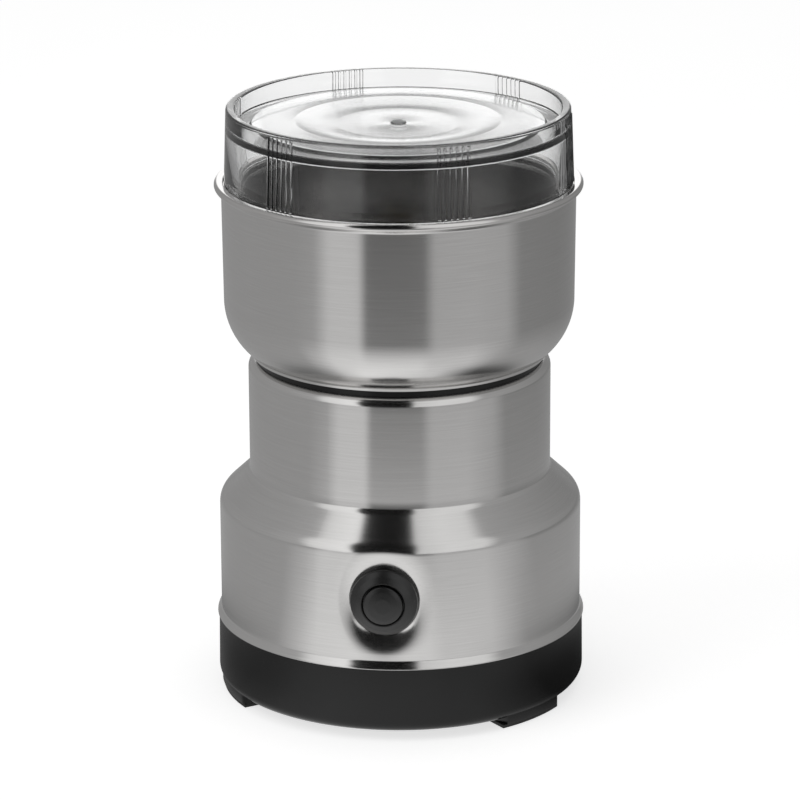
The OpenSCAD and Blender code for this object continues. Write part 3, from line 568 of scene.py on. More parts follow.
# %% [markdown]
# ## Geometry Nodes: copies round the axis
#
# Feet, screws and pillars repeat round the shaft. One tree does all of them: it makes a point for
# each copy at the origin, gives each its own turn, and places the piece on it. Each tree here
# takes a mesh, its sizes and a finish, and ends in real meshes with that finish.

# %% What all trees share
def geometry_group(name, mesh_label, **sizes):
    kinds = {int: "NodeSocketInt", float: FLOAT}
    inputs = [(spoken(key), kinds[type(size)], size) for key, size in sizes.items()]
    return new_group(name, "GeometryNodeTree",
                     [(mesh_label, GEOMETRY, None), *inputs, ("Finish", FINISH, None)],
                     [("Result", GEOMETRY)])


def finished(graph, mesh, finish):
    real = graph.add("GeometryNodeRealizeInstances", {0: mesh})
    return graph.results(Result=graph.add("GeometryNodeSetMaterial", {0: real, "Material": finish}))


def run_tree(mesh, tree, extra=(), **values):
    """Runs a Geometry Nodes tree and other modifiers on a mesh and returns a plain mesh."""
    holder = placed("holder", mesh)
    if tree:
        modifier = holder.modifiers.new("tree", "NODES")
        modifier.node_group = tree
        sockets = {item.name: item.identifier
                   for item in tree.interface.items_tree if item.in_out == "INPUT"}
        for name, value in values.items():
            modifier[sockets[spoken(name)]] = value
    for kind, settings in extra:
        added = holder.modifiers.new(kind.lower(), kind)
        for key, value in settings.items():
            setattr(added, key, value)
    return taken_from(holder)


def taken_from(holder):
    """The mesh that an object shows. The object is removed."""
    seen = bpy.context.evaluated_depsgraph_get()
    plain = bpy.data.meshes.new_from_object(holder.evaluated_get(seen), preserve_all_data_layers=True,
                                            depsgraph=seen)
    bpy.data.objects.remove(holder)
    return plain


# %% The tree that repeats a piece round the axis
def make_ring_tree():
    graph, given = geometry_group("copies round the axis", "Piece", copies=3, first_angle=0.0)
    share = graph.add("GeometryNodeInputIndex") / given["Copies"]
    angle = given["First angle"] + share * (2 * pi)
    copies = graph.add("GeometryNodeInstanceOnPoints", {
        "Points": graph.add("GeometryNodePoints", {"Count": given["Copies"]}),
        "Instance": given["Piece"], "Rotation": graph.vector(0, 0, angle),
    })
    return finished(graph, copies, given["Finish"])


RING_TREE = make_ring_tree()


def ring_of(mesh, copies, turn, finish):
    return run_tree(mesh, RING_TREE, copies=copies, first_angle=radians(turn), finish=finish)


# %% [markdown]
# ## The housing
#
# One steel sheet with a neck, a shoulder, a bead round the bottom and a dish for the switch. The
# section gives all but the dish. A tree presses the dish by a point's distance from the button's
# axis: near it the point goes down to a flat seat, farther out it stays on the wall, and between
# the two it follows a parabola that meets the wall without a crease. A Solidify modifier then
# gives the sheet its thickness.

# %% Sizes of the housing
HOUSING_R, NECK_R, SHEET = 51.5, 42.8, 0.8
WALL_TOP, NECK_TOP, NECK_HOLE_R, BASE_TOP = 54.2, 96.8, 40.7, 21.3
SHOULDER_ROUND, SHOULDER_ANGLE, CREASE_ROUND, CREASE_ANGLE = 4.7, 47, 3.0, 12
NECK_EDGE, BEAD_PROUD, BEAD_H, BEAD_PEAK = 2.6, 1.1, 2.5, 0.08
SWITCH_Z, DISH_Y, DISH_FLOOR_R, DISH_R, SWITCH_HOLE_R = 40.6, 49.5, 9.3, 17.0, 8.2
WALL_STEP = 0.45


def housing_section():
    bead = [(HOUSING_R + BEAD_PROUD * (0.5 + 0.5 * cos(t)), BASE_TOP + BEAD_PEAK * (1 - sin(t)))
            for t in shares(6, pi / 2, 0)[:-1]]
    bead += [(HOUSING_R + BEAD_PROUD * (1 + cos(pi * t)) / 2,
              BASE_TOP + BEAD_PEAK + (BEAD_H - BEAD_PEAK) * t) for t in shares(18)]
    wall = [(HOUSING_R, z * WALL_STEP) for z in range(56, int(WALL_TOP / WALL_STEP) + 1)]
    shoulder = arc(HOUSING_R - SHOULDER_ROUND, WALL_TOP, SHOULDER_ROUND, 0, SHOULDER_ANGLE, 10)
    end_r, end_z = shoulder[-1]
    a, b = radians(SHOULDER_ANGLE), radians(CREASE_ANGLE)
    crease_r = NECK_R - CREASE_ROUND * (cos(a) - cos(b))
    crease_z = end_z + (end_r - crease_r) / tan(a)
    slope = straight((end_r, end_z), (crease_r, crease_z), 12)
    centre = (crease_r + CREASE_ROUND * cos(a), crease_z + CREASE_ROUND * sin(a))
    crease = arc(*centre, -CREASE_ROUND, SHOULDER_ANGLE, CREASE_ANGLE, 10)
    edge_z = NECK_TOP - NECK_EDGE
    last_r, last_z = crease[-1]
    neck = [(last_r + (NECK_R - last_r) * min(1, i / 4), last_z + (edge_z - last_z) * i / 14)
            for i in range(1, 14)]
    last_angle = degrees(acos((NECK_HOLE_R - NECK_R + NECK_EDGE) / NECK_EDGE))
    edge = arc(NECK_R - NECK_EDGE, edge_z, NECK_EDGE, 0, last_angle, 12)
    return bead + wall + shoulder + slope + crease + neck + edge


def front_angles(half_width, step, radius, coarse):
    """Angles round the body, close together at the front and wider apart behind."""
    half = half_width / radius
    fine = shares(round(2 * half_width / step), -half, half)
    wide = shares(round((2 * pi - 2 * half) / radians(coarse)), half, 2 * pi - half)[1:-1]
    return sorted(a % (2 * pi) for a in fine + wide)


# %% The tree that presses the dish
def make_dish_tree():
    graph, given = geometry_group("pressed dish", "Sheet", axis_height=0.0, floor_distance=0.0,
                                  floor_radius=0.0, mouth_radius=0.0, hole_radius=0.0)
    x, y, z = graph.parts(graph.add("GeometryNodeInputPosition"))
    off_axis = distance(x, z - given["Axis height"])
    to_mouth = graph.range(off_axis, given["Floor radius"], given["Mouth radius"], 1, 0)
    floor = given["Floor distance"]
    out = floor + (-y - floor) * (1.0 - to_mouth * to_mouth)
    front = y.math("LESS_THAN", 0.0)
    sheet = graph.add("GeometryNodeSetPosition", {
        "Geometry": given["Sheet"], "Selection": front, "Position": graph.vector(x, -out, z),
    })
    in_hole = front * off_axis.math("LESS_THAN", given["Hole radius"])
    sheet = graph.add("GeometryNodeDeleteGeometry", {0: sheet, "Selection": in_hole})
    return finished(graph, sheet, given["Finish"])


# %% Press the housing
flat_sheet = turned("housing", housing_section(), front_angles(20, WALL_STEP, HOUSING_R, 2.0), closed=False)
pressed_sheet = run_tree(
    flat_sheet, make_dish_tree(),
    extra=[("SOLIDIFY", {"thickness": SHEET * MM, "offset": -1, "use_even_offset": True})],
    axis_height=SWITCH_Z * MM, floor_distance=DISH_Y * MM, floor_radius=DISH_FLOOR_R * MM,
    mouth_radius=DISH_R * MM, hole_radius=SWITCH_HOLE_R * MM, finish=BODY_STEEL,
)
piece("steel_housing", pressed_sheet, BODY_STEEL, "housing_body", "brushed_steel", "housing")

# %% [markdown]
# ## Cup and bowl
#
# The cup is the brushed outer shell. Its underside is a dome that ends at the black waist, and its
# top flares out. The grinding bowl hangs inside it: its flange lies over the flare and ends in a
# flat rolled rim, and the lid stands inside that rim.

# %% Cup
DOME_ROUND, SHELL_TOP_R, SHELL_R, DOME_EDGE_R, BOSS_HOLE_R = 19.0, 49.4, 49.7, 42.0, 8.2
CARRIER_TOP, FLARE_LOW = 98.6, 144.6
RIM_Z, RIM_TOP, RIM_ROLL, RIM_R = 147.5, 148.4, 1.05, 51.7
dome_end = degrees(acos((DOME_EDGE_R - SHELL_TOP_R + DOME_ROUND) / DOME_ROUND))
dome_z = CARRIER_TOP + SHEET + DOME_ROUND * sin(radians(dome_end))


def cup_section():
    outside = [(BOSS_HOLE_R, CARRIER_TOP), (DOME_EDGE_R - 0.4, CARRIER_TOP),
               (DOME_EDGE_R - 0.1, CARRIER_TOP + 0.15)]
    outside += arc(SHELL_TOP_R - DOME_ROUND, dome_z, DOME_ROUND, -dome_end, 0, 40)
    outside += straight((SHELL_TOP_R, dome_z), (SHELL_R, FLARE_LOW), 6)
    outside += rounded([(SHELL_R, FLARE_LOW), (SHELL_R, 145.5, 0.9), (50.6, 146.6), (50.4, 146.75)],
                       steps=8, closed=False)
    inside = [(SHELL_R - SHEET, 145.9), (SHELL_R - SHEET, 140.0)]
    inside += arc(SHELL_TOP_R - DOME_ROUND, dome_z, DOME_ROUND - SHEET, 0, -dome_end + 2, 20)
    return outside + inside + [(BOSS_HOLE_R, CARRIER_TOP + SHEET)]


piece("steel_cup", turned("cup", cup_section()), BODY_STEEL, "housing_body", "brushed_steel", "bowl_shell")

# %% Bowl
BOWL_R, BOWL_FLOOR, BOWL_ROUND = 47.5, 103.6, 16.0


def bowl_section():
    low_r, low_z = BOWL_R - 0.5, BOWL_FLOOR + BOWL_ROUND
    centre_r, rim_r, wall_r = low_r - BOWL_ROUND, RIM_R - RIM_ROLL, BOWL_R + SHEET
    inside = [(BOSS_HOLE_R, BOWL_FLOOR)] + straight((BOSS_HOLE_R, BOWL_FLOOR), (centre_r, BOWL_FLOOR), 6)
    inside += arc(centre_r, low_z, BOWL_ROUND, -90, 0, 24)
    inside += straight((low_r, low_z), (BOWL_R, RIM_Z - 1), 6)
    inside += arc(BOWL_R + 1, RIM_Z - 1, 1, 180, 90, 6)
    bead = rounded([(49.05, RIM_Z), (49.15, RIM_TOP - 0.1, 0.3), (rim_r - 0.4, RIM_TOP),
                    (rim_r, RIM_TOP)], closed=False)
    bead += arc(rim_r, RIM_TOP - RIM_ROLL, RIM_ROLL, 84, -52, 22)
    under = RIM_Z - SHEET
    outside = [(50.2, under), (wall_r + 1.2, under), (wall_r + 0.2, under - 0.3)]
    outside += arc(centre_r, low_z, BOWL_ROUND + SHEET, 0, -90, 16)
    return inside + bead + outside + [(BOSS_HOLE_R, BOWL_FLOOR - SHEET)]


piece("steel_bowl", turned("bowl", bowl_section()), BOWL_STEEL, "housing_body", "bowl_steel",
      "grinding_bowl")

# %% [markdown]
# ## The lid
#
# One clear moulding: a wall with a slight draft, a crowned panel sunk below the rim with a round
# hollow in it and the mark of the moulding gate in the middle, a lip that locates in the bowl, and
# six places with six grip ribs each. The ribs are part of the wall, so they are raised from it by
# a tree, by a rule: a point's angle says which rib is nearest, and the wall swells there by the
# height of a round wire, a thicker one for the ribs at both ends. Only the outer wall swells,
# which the attribute "grip" says.

# %% Sizes of the lid
LID_R, LID_DRAFT, LID_WALL, LID_FOOT, LID_TOP = 48.9, 0.8, 2.5, 147.6, 169.3
LIP_IN, LIP_OUT, LIP_NECK, LIP_LOW = 45.3, 46.6, 47.2, 143.4
PANEL_TOP, PANEL_T, PLATEAU_R, PLATEAU_LOW, PANEL_EDGE = 165.5, 1.6, 41.0, 164.7, 164.1
HOLLOW_R, CREST_R, HOLLOW_DROP, GATE_R, GATE_H = 17.3, 28.8, 1.2, 2.1, 0.4
GRIP_GROUPS, GRIP_RIBS, GRIP_TURN, GRIP_PITCH, RIB_R = 6, 6, 23.3, 2.0, 0.42
RIB_SUNK, END_RIB, RIB_RUN_OUT = 0.15, 0.3, 0.3


def lid_section():
    """The lid's section and, for each point, how far the ribs may raise it."""
    inner = LID_R - LID_DRAFT - LID_WALL
    floor_z = PANEL_TOP - HOLLOW_DROP
    quarter = shares(10, 0, pi / 2)
    crown = [(r, PLATEAU_LOW + (PANEL_TOP - PLATEAU_LOW) * sin(t))
             for r, t in zip(shares(10, PLATEAU_R, CREST_R), quarter)]
    hollow = [(r, PANEL_TOP - HOLLOW_DROP * (1 - cos(t)))
              for r, t in zip(shares(10, CREST_R, HOLLOW_R), quarter)]
    upper = rounded([
        (LID_R - LID_DRAFT, LID_TOP, 0.8), (inner, LID_TOP, 0.7), (inner, PANEL_EDGE, 0.4),
        (PLATEAU_R + 0.5, PANEL_EDGE, 0.3), (*crown[0], 0.5), *crown[1:], *hollow[1:-1], (*hollow[-1], 0.6),
        (GATE_R + 0.1, floor_z, 0.15), (GATE_R, floor_z + GATE_H, 0.15), (0, floor_z + GATE_H - 0.1),
        (0, floor_z - PANEL_T), (HOLLOW_R, floor_z - PANEL_T, 3.0), (CREST_R, PANEL_TOP - PANEL_T, 5.0),
        (PLATEAU_R, PLATEAU_LOW - PANEL_T, 2.0), (inner + 0.24, PANEL_EDGE - PANEL_T, 0.3),
        (LIP_IN, LID_FOOT + 2, 2.0), (LIP_IN, LIP_LOW, 0.4), (LIP_OUT, LIP_LOW, 0.4),
        (LIP_NECK, LIP_LOW + 1.5, 0.5), (LIP_NECK, LID_FOOT, 0.15), (LID_R, LID_FOOT, 0.3),
    ], 5)
    low, high = LID_FOOT + 0.9, LID_TOP - 0.85
    heights = [low, low + RIB_RUN_OUT] + shares(13, low, high)[1:-1] + [high - RIB_RUN_OUT, high]
    wall = [(LID_R - LID_DRAFT * (z - LID_FOOT) / (LID_TOP - LID_FOOT), z) for z in heights]
    grip = [0.0] * (len(upper) + 1) + [1.0] * (len(wall) - 2) + [0.0]
    return upper + wall, grip


def lid_angles():
    """Close angles across each rib, wide ones between the groups."""
    pitch, group_turn = radians(GRIP_PITCH), 2 * pi / GRIP_GROUPS
    half = (0.4, 0.75, 0.95, 1.1, 1.3)
    across = [k * RIB_R / LID_R for k in (*(-k for k in reversed(half)), 0.0, *half)]
    found = []
    for group in range(GRIP_GROUPS):
        middle = radians(GRIP_TURN) + group * group_turn
        for rib in range(GRIP_RIBS):
            found += [middle + (rib - (GRIP_RIBS - 1) / 2) * pitch + a for a in across]
        reach = GRIP_RIBS / 2 * pitch
        found += shares(24, middle + reach, middle + group_turn - reach)
    return sorted(a % (2 * pi) for a in found)


# %% The tree that raises the grip ribs
def make_rib_tree():
    graph, given = geometry_group("grip ribs", "Wall", groups=6.0, ribs=6.0, turn=0.0, pitch=0.04,
                                  rib_radius=0.0004, sunk=0.00015)
    x, y, _ = graph.parts(graph.add("GeometryNodeInputPosition"))
    pitch, half = given["Pitch"], given["Ribs"] * 0.5
    period = 2 * pi / given["Groups"]
    angle = x.math("ARCTAN2", -y) - given["Turn"]
    steps = angle.math("WRAP", period * 0.5, period * -0.5) / pitch
    nearest = steps.math("FLOOR") + 0.5
    nearest = nearest.math("MINIMUM", half - 0.5).math("MAXIMUM", 0.5 - half)
    radius = distance(x, y)
    off_rib = (steps - nearest) * pitch * radius
    last = nearest.math("ABSOLUTE").math("GREATER_THAN", half - 0.75)
    wire = given["Rib radius"] * (last * END_RIB + 1.0)
    proud = (wire * wire - off_rib * off_rib).math("MAXIMUM", 0.0).math("SQRT") - given["Sunk"]
    grip = graph.add("GeometryNodeInputNamedAttribute", {"Name": "grip"}, data_type="FLOAT")
    grow = proud.math("MAXIMUM", 0.0) * grip / radius.math("MAXIMUM", 0.001)
    raised = graph.add("GeometryNodeSetPosition",
                       {"Geometry": given["Wall"], "Offset": graph.vector(x * grow, y * grow)})
    return finished(graph, raised, given["Finish"])


# %% Mould the lid
section, grip = lid_section()
ribbed_lid = run_tree(
    turned("lid", section, lid_angles(), weights=grip), make_rib_tree(), groups=float(GRIP_GROUPS),
    ribs=float(GRIP_RIBS), turn=radians(GRIP_TURN), pitch=radians(GRIP_PITCH), rib_radius=RIB_R * MM,
    sunk=RIB_SUNK * MM, finish=CLEAR,
)
piece("clear_lid", ribbed_lid, CLEAR, "lid_body", "clear_plastic", "lid", sharp=28)

# %% [markdown]
# ## The push switch
#
# Bezel and button are turned pieces too, about the button's axis. They are turned about Z first
# and then laid down by swapping coordinates, so that the finished mesh lies in its place and the
# object stays at the origin.

# %% Laying a turned mesh along an axis
def laid_along_y(name, section, count, sign, height):
    """Turns a section and lays it along Y: up becomes outwards, at a given height."""
    mesh = turned(name, section, even_angles(count))
    for vert in mesh.vertices:
        x, y, z = vert.co
        vert.co = (x, sign * z, height * MM - sign * y)
    mesh.update()
    return mesh


# %% Bezel and button
BEZEL_R, BARREL_R, BUTTON_R, MOUTH_R, MOUTH_Y = 9.4, 7.8, 5.45, 5.75, 53.2
SPACE_R, STEM_R, STEM_HOLE_R, COLLAR_R, BARREL_END = 6.6, 2.0, 2.3, 6.3, 29.0

bezel_section = rounded([
    (BARREL_R, DISH_Y), (BEZEL_R, DISH_Y, 0.15), (BEZEL_R - 0.08, DISH_Y + 1.4, 0.6),
    (8.0, DISH_Y + 2.6, 2.5), (MOUTH_R + 0.45, MOUTH_Y, 0.5), (MOUTH_R, MOUTH_Y - 0.45, 0.25),
    (MOUTH_R, MOUTH_Y - 1.5),
    (SPACE_R, MOUTH_Y - 1.5), (SPACE_R, 42.0), (STEM_HOLE_R, 42.0), (STEM_HOLE_R, 40.5), (SPACE_R, 40.5),
    (SPACE_R, BARREL_END), (BARREL_R, BARREL_END),
], 6)
bezel_mesh = laid_along_y("bezel", bezel_section, 128, -1, SWITCH_Z)
piece("switch_ring", bezel_mesh, SWITCH_PLASTIC, "housing_body", "switch_plastic", "switch_bezel")

button_section = rounded([
    (0, 39.3), (STEM_R, 39.3, 0.2), (STEM_R, 50.0), (COLLAR_R, 50.0, 0.1), (COLLAR_R, 51.4, 0.1),
    (BUTTON_R, 51.4), (BUTTON_R, 53.75, 0.4), (4.2, 54.2, 3.0), (2.2, 54.48, 4.0), (0, 54.55),
], 6)
button_mesh = laid_along_y("button", button_section, 96, -1, SWITCH_Z)
piece("push_button", button_mesh, SWITCH_PLASTIC, "button", "switch_plastic", "switch_button")

# %% [markdown]
# ## The base
#
# A black moulding: a ring that the housing stands on, with a spigot inside it, a floor with vent
# slots, three pillars for the screws, and three feet. The ring is turned, the floor is cut from a
# flat outline with its slots, and the feet are one foot and its copies.

# %% Ring of the base
BASE_R, BASE_EDGE, BASE_WALL, FOOT_H = 52.4, 3.4, 2.3, 2.5
POST_R, POST_TURN, POSTS, POST_HOLE_R = 37.4, 90, 3, 3.6
FOOT_IN, FOOT_OUT, FOOT_ANGLE, FOOT_TURN, FEET, PAD_T = 44.0, 51.6, 27.0, 52.3, 3, 0.9
VENTS, VENT_IN, VENT_OUT, VENT_HALF = 18, 13, 30, 1.2
SPIGOT_OUT, SPIGOT_IN, SPIGOT_TOP, FLOOR_TOP = 50.5, 48.5, 25.5, FOOT_H + BASE_WALL

base_ring = turned("base ring", rounded([
    (46.0, FOOT_H), (BASE_R, FOOT_H, BASE_EDGE), (BASE_R - 0.2, BASE_TOP, 0.25), (SPIGOT_OUT, BASE_TOP),
    (SPIGOT_OUT, SPIGOT_TOP, 0.5), (SPIGOT_IN, SPIGOT_TOP, 0.3), (SPIGOT_IN, BASE_TOP), (49.9, 19.3),
    (50.1, 6.9, 1.5), (48.1, FLOOR_TOP), (46.0, FLOOR_TOP),
], 10), even_angles(256))


# %% Floor of the base
def circle(cx, cy, r, count):
    return [(cx + r * cos(a), cy + r * sin(a)) for a in even_angles(count)]


def slot_outline(angle, inner, outer, half):
    """A slot with round ends that points away from the shaft."""
    points = arc(0, outer, half, 0, 180, 8) + arc(0, inner, half, 180, 360, 8)
    c, s = cos(angle), sin(angle)
    return [(x * c - y * s, x * s + y * c) for x, y in points]


def base_floor_mesh():
    posts = [radians(POST_TURN + i * 360 / POSTS) for i in range(POSTS)]
    outlines = [circle(0, 0, 46.4, 128)]
    outlines += [slot_outline(pi + (i + 0.5) * 2 * pi / VENTS, VENT_IN, VENT_OUT, VENT_HALF)
                 for i in range(VENTS)]
    outlines += [circle(POST_R * sin(a), -POST_R * cos(a), POST_HOLE_R, 32) for a in posts]
    curve = bpy.data.curves.new("floor", "CURVE")
    curve.dimensions, curve.fill_mode, curve.extrude = "2D", "BOTH", BASE_WALL / 2 * MM
    for outline in outlines:
        spline = curve.splines.new("POLY")
        spline.points.add(len(outline) - 1)
        for target, (x, y) in zip(spline.points, outline):
            target.co = (x * MM, y * MM, 0, 1)
        spline.use_cyclic_u = True
    mesh = taken_from(placed("floor", curve))
    for vert in mesh.vertices:
        vert.co.z += (FOOT_H + BASE_WALL / 2) * MM
    return mesh


# %% Pillars and feet
FOOT_CORNER, FOOT_TOP = 1.6, 4.2


def foot_mesh():
    """One foot under the ring, with rounded ends, modelled at the front."""
    half = radians(FOOT_ANGLE / 2)
    outline = []
    for r, side in ((FOOT_OUT, 1), (FOOT_IN, -1)):
        turn = FOOT_CORNER / r
        outline += [(side * a, r) for a in shares(24, turn - half, half - turn)]
        for t in shares(6, 0, pi / 2)[1:-1]:
            a = half - turn + turn * sin(t)
            outline.append((side * a, r - side * FOOT_CORNER * (1 - cos(t))))
    rings = []
    middle = (FOOT_IN + FOOT_OUT) / 2
    for z, inset in ((PAD_T, 0.35), (PAD_T + 0.1, 0.12), (PAD_T + 0.35, 0.0), (FOOT_TOP, 0.0)):
        pull = inset / (FOOT_OUT - FOOT_IN) * 2
        spots = [(r + (middle - r) * pull, a * (1 - inset / (half * middle))) for a, r in outline]
        rings.append([(r * sin(a), -r * cos(a), z) for r, a in spots])
    return ring_mesh("foot", rings)


pillar = moved(turned("pillar", rounded([
    (1.8, 20.0), (1.8, 8.0), (POST_HOLE_R, 8.0), (POST_HOLE_R, FOOT_H), (5.0, FOOT_H), (5.0, 20.0, 0.3),
], 4), even_angles(48)), 0, -POST_R)
pillars = ring_of(pillar, POSTS, POST_TURN, BLACK_PLASTIC)
feet = ring_of(foot_mesh(), FEET, FOOT_TURN, BLACK_PLASTIC)

# %% Cord inlet: a stepped hole in the ring, and inside it the bosses and the saddle of the clamp
CORD_Z, CORD_R, CLAMP_X, CLAMP_Y, SADDLE_T = 11.8, 3.3, 8.6, 43.0, 3.0

cutter_section = rounded([
    (0, 45.0), (6.4, 45.0), (6.4, 49.6), (5.03, 49.6), (5.03, 51.8), (6.5, 51.8), (6.5, 60.0), (0, 60.0),
])
cutter = placed("inlet", laid_along_y("inlet", cutter_section, 96, 1, CORD_Z))
cut = {"object": cutter, "operation": "DIFFERENCE", "solver": "EXACT"}
open_ring = run_tree(base_ring, None, extra=[("BOOLEAN", cut)])
bpy.data.objects.remove(cutter)

boss_section = rounded([(1.3, 6.0), (1.3, 15.2), (3.0, 15.2, 0.2), (3.0, FLOOR_TOP), (0, FLOOR_TOP),
                        (0, 6.0)], 3)
bosses = [moved(turned("boss", boss_section, even_angles(40)), x, CLAMP_Y) for x in (-CLAMP_X, CLAMP_X)]


def saddle_mesh():
    """The wall between the bosses, with a half-round notch in which the lead lies."""
    notch = [(x, z) for z, x in arc(CORD_Z, 0, -CORD_R, 42, -42, 14)]
    outline = [(-CLAMP_X, FLOOR_TOP), (CLAMP_X, FLOOR_TOP), (CLAMP_X, notch[-1][1]), *notch[::-1],
               (-CLAMP_X, notch[0][1])]
    return ring_mesh("saddle", [[(x, CLAMP_Y + y, z) for x, z in outline]
                                for y in (-SADDLE_T / 2, SADDLE_T / 2)])


base_mesh = joined("base", open_ring, base_floor_mesh(), pillars, feet, saddle_mesh(), *bosses)
piece("base_moulding", base_mesh, BLACK_PLASTIC, "housing_body", "black_plastic", "base")


# %% [markdown]
# ## Screws with a cross recess
#
# The three screws under the base are seen from below only, deep in their holes. Their heads have a
# cross recess. One screw is built as rings of points whose inner rings follow the cross, and the
# tree copies it.

# %% Cross-head screws
def polar(a, r, z):
    return (r * cos(a), r * sin(a), z)


def cross_outline(reach, half, count):
    """How far a cross with rounded arms reaches at each of count angles, as (angle, distance)."""
    found = []
    for a in even_angles(count):
        c, s = abs(cos(a)), abs(sin(a))
        found.append((a, min(reach, half / max(min(c, s), 1e-6))))
    return found


def screw_mesh(head_r, head_h, shank_r, length, low):
    """A pan head screw that points up, its head at height low."""
    profile = (  # share of the cross, added radius, height
        (0, head_r * 0.08, 1.3), (0.6, 0, 1.1), (1, 0, 0.12), (1, 0.12, 0), (0, head_r * 0.82, 0),
        (0, head_r * 0.95, 0.18), (0, head_r, 0.55), (0, head_r, head_h), (0, shank_r, head_h),
        (0, shank_r, length - 0.6), (0, shank_r * 0.5, length),
    )
    cross = cross_outline(head_r * 0.62, head_r * 0.16, 64)
    return ring_mesh("screw", [[polar(a, share * r + wide, low + z) for a, r in cross]
                               for share, wide, z in profile])


base_screw = moved(screw_mesh(3.0, 2.4, 1.6, 26.0, 5.6), 0, -POST_R)
screws = ring_of(base_screw, POSTS, POST_TURN, ZINC_STEEL)
piece("cross_screws", joined("screws", screws), ZINC_STEEL, "housing_body", "zinc_steel", "base_screws")

# %% Cord bushing
BUSHING_R, GROOVE_R = 6.1, 5.0

bushing_mesh = laid_along_y("bushing", rounded([
    (CORD_R, 46.8, 0.3), (BUSHING_R, 46.8, 0.4), (BUSHING_R, 49.57, 0.3), (GROOVE_R, 49.57),
    (GROOVE_R, 51.83), (BUSHING_R + 0.1, 51.83, 0.3), (BUSHING_R + 0.1, 53.5, 0.5), (CORD_R, 53.5, 0.5),
], 6), 96, 1, CORD_Z)
piece("cord_grommet", bushing_mesh, RUBBER, "housing_body", "rubber", "cord_bushing")

# %% [markdown]
# ## The blade
#
# Under the lid: a strip of spring steel with its two arms twisted and bent, one up and one down,
# each ground to an edge on the side that leads. Its section is drawn once, and the arm's rule says
# how wide, how high and how twisted the section is at each place along the blade.

# %% Blade
BLADE_LOW, BLADE_T, BLADE_DISC_R = 113.6, 1.5, 6.5
BLADE_BEND, BLADE_PITCH, GROUND_W, GROUND_T = 11.0, 14.0, 2.4, 0.22
BLADE_STATIONS = (0, 1, 2, 3, 4, 4.8, 5.4, 6, 6.6, 7.4, 8.5, 10, 12, 15, 18, 21, 24, 26.5, 28, 28.8, 29.4,
                  29.8, 30.2, 30.6, 30.9)
BACK_EDGE = ((0, 0), (4.5, 4.6), (5, 4.9), (28, 4.1), (29.4, 2.1), (30.9, 0.1))
FRONT_EDGE = ((0, 0), (4.5, 4.2), (6, 4.3), (29.4, 3.5), (29.8, 3.3), (30.9, 0.1))


def between(x, points):
    """The value at x on a line through points."""
    for (x0, y0), (x1, y1) in zip(points, points[1:]):
        if x <= x1:
            return y0 + (y1 - y0) * max(0.0, x - x0) / (x1 - x0)
    return points[-1][1]


def blade_arm(side):
    """Sections of one arm, from the shaft outwards. Side 1 points to +X and rises, -1 to -X and drops."""
    rings, along, rise, before = [], 0.0, 0.0, 0.0
    for s in BLADE_STATIONS:
        ease = min(1.0, max(0.0, (s - 4.0) / 4.0))
        ease = ease * ease * (3 - 2 * ease)
        bend, twist = radians(BLADE_BEND) * ease, radians(BLADE_PITCH) * ease
        along += (s - before) * cos(bend)
        rise += (s - before) * sin(bend) * side
        before = s
        disc = sqrt(max(0.0, BLADE_DISC_R ** 2 - s * s))
        low, high = -max(disc, between(s, BACK_EDGE)), max(disc, between(s, FRONT_EDGE))
        grind = min(1.0, ease * 1.2)
        ground = GROUND_W * grind * min(1.0, (high - low) / 6)
        edge = BLADE_T + (GROUND_T - BLADE_T) * grind
        outline = [(low + 0.1, 0), (high - 0.05, 0), (high, edge * 0.5), (high - 0.05, edge),
                   (high - ground - 0.08, BLADE_T), (low + 0.15, BLADE_T), (low, BLADE_T * 0.5)]
        rings.append([(side * along, side * (y * cos(twist) - z * sin(twist)),
                       BLADE_LOW + y * sin(twist) + z * cos(twist) + rise) for y, z in outline])
    return rings


low_arm = [[ring[i] for i in (1, 0, 6, 5, 4, 3, 2)] for ring in blade_arm(-1)[:0:-1]]
blade_mesh = joined("blade", ring_mesh("blade", low_arm + blade_arm(1)))
piece("ground_blade", blade_mesh, BRIGHT_STEEL, "rotor", "bright_steel", "blade", sharp=20)


# %% Nuts
def hexagon_nut(name, corner_r, inner, low, height):
    """A nut with its corners turned off at the top: the lower of a hexagon and a cone."""
    sixth = pi / 3
    hexagon = [(a, corner_r * cos(sixth / 2) / cos(a % sixth - sixth / 2)) for a in even_angles(96)]
    profile = (
        (inner, 0), (corner_r, 0), (corner_r, height - 0.9), (corner_r * 0.955, height - 0.45),
        (corner_r * 0.90, height), (inner + 0.3, height), (inner, height - 0.3),
    )
    rings = [[polar(a, min(r, limit), low + z) for a, r in hexagon] for limit, z in profile]
    return joined(name, ring_mesh(name, rings, looped=True))


top_nut = hexagon_nut("top nut", 4.7, 2.53, 115.1, 4.0)
clamp_nut = hexagon_nut("clamp nut", 14.0, 8.03, BOWL_FLOOR, 4.6)
piece("top_nut", top_nut, BRIGHT_STEEL, "rotor", "bright_steel", "blade_nut", sharp=25)
piece("clamp_nut", clamp_nut, BRIGHT_STEEL, "housing_body", "bright_steel", "bowl_nut", sharp=25)

# %% [markdown]
# ## Floor and light
#
# The floor is a pale sheet that is lit from below too, as a photographer's white table is, so that
# the grinder's own shadow stays faint. Steel shows something else: it mirrors the studio. The
# photograph's bands tell what stood there, because a band at an angle round the cup mirrors what
# stands at twice that angle, and a camera above level sees the floor in every upright wall:
#
# - a bright panel at the left and one at the right, with a dark gap between them that goes on
#   overhead, which is the dark patch on the shoulder
# - grey walls beyond them
# - the same bands laid out on the floor, paler close to the grinder, and close to it at the right a
#   painted shadow of the grinder
# - a bright backdrop low behind it, which the lid's flat top mirrors
#
# So the studio is a dome and a floor card that only reflections see. Their paint is a function of
# the angle round the line of sight, and on the floor of the distance as well.

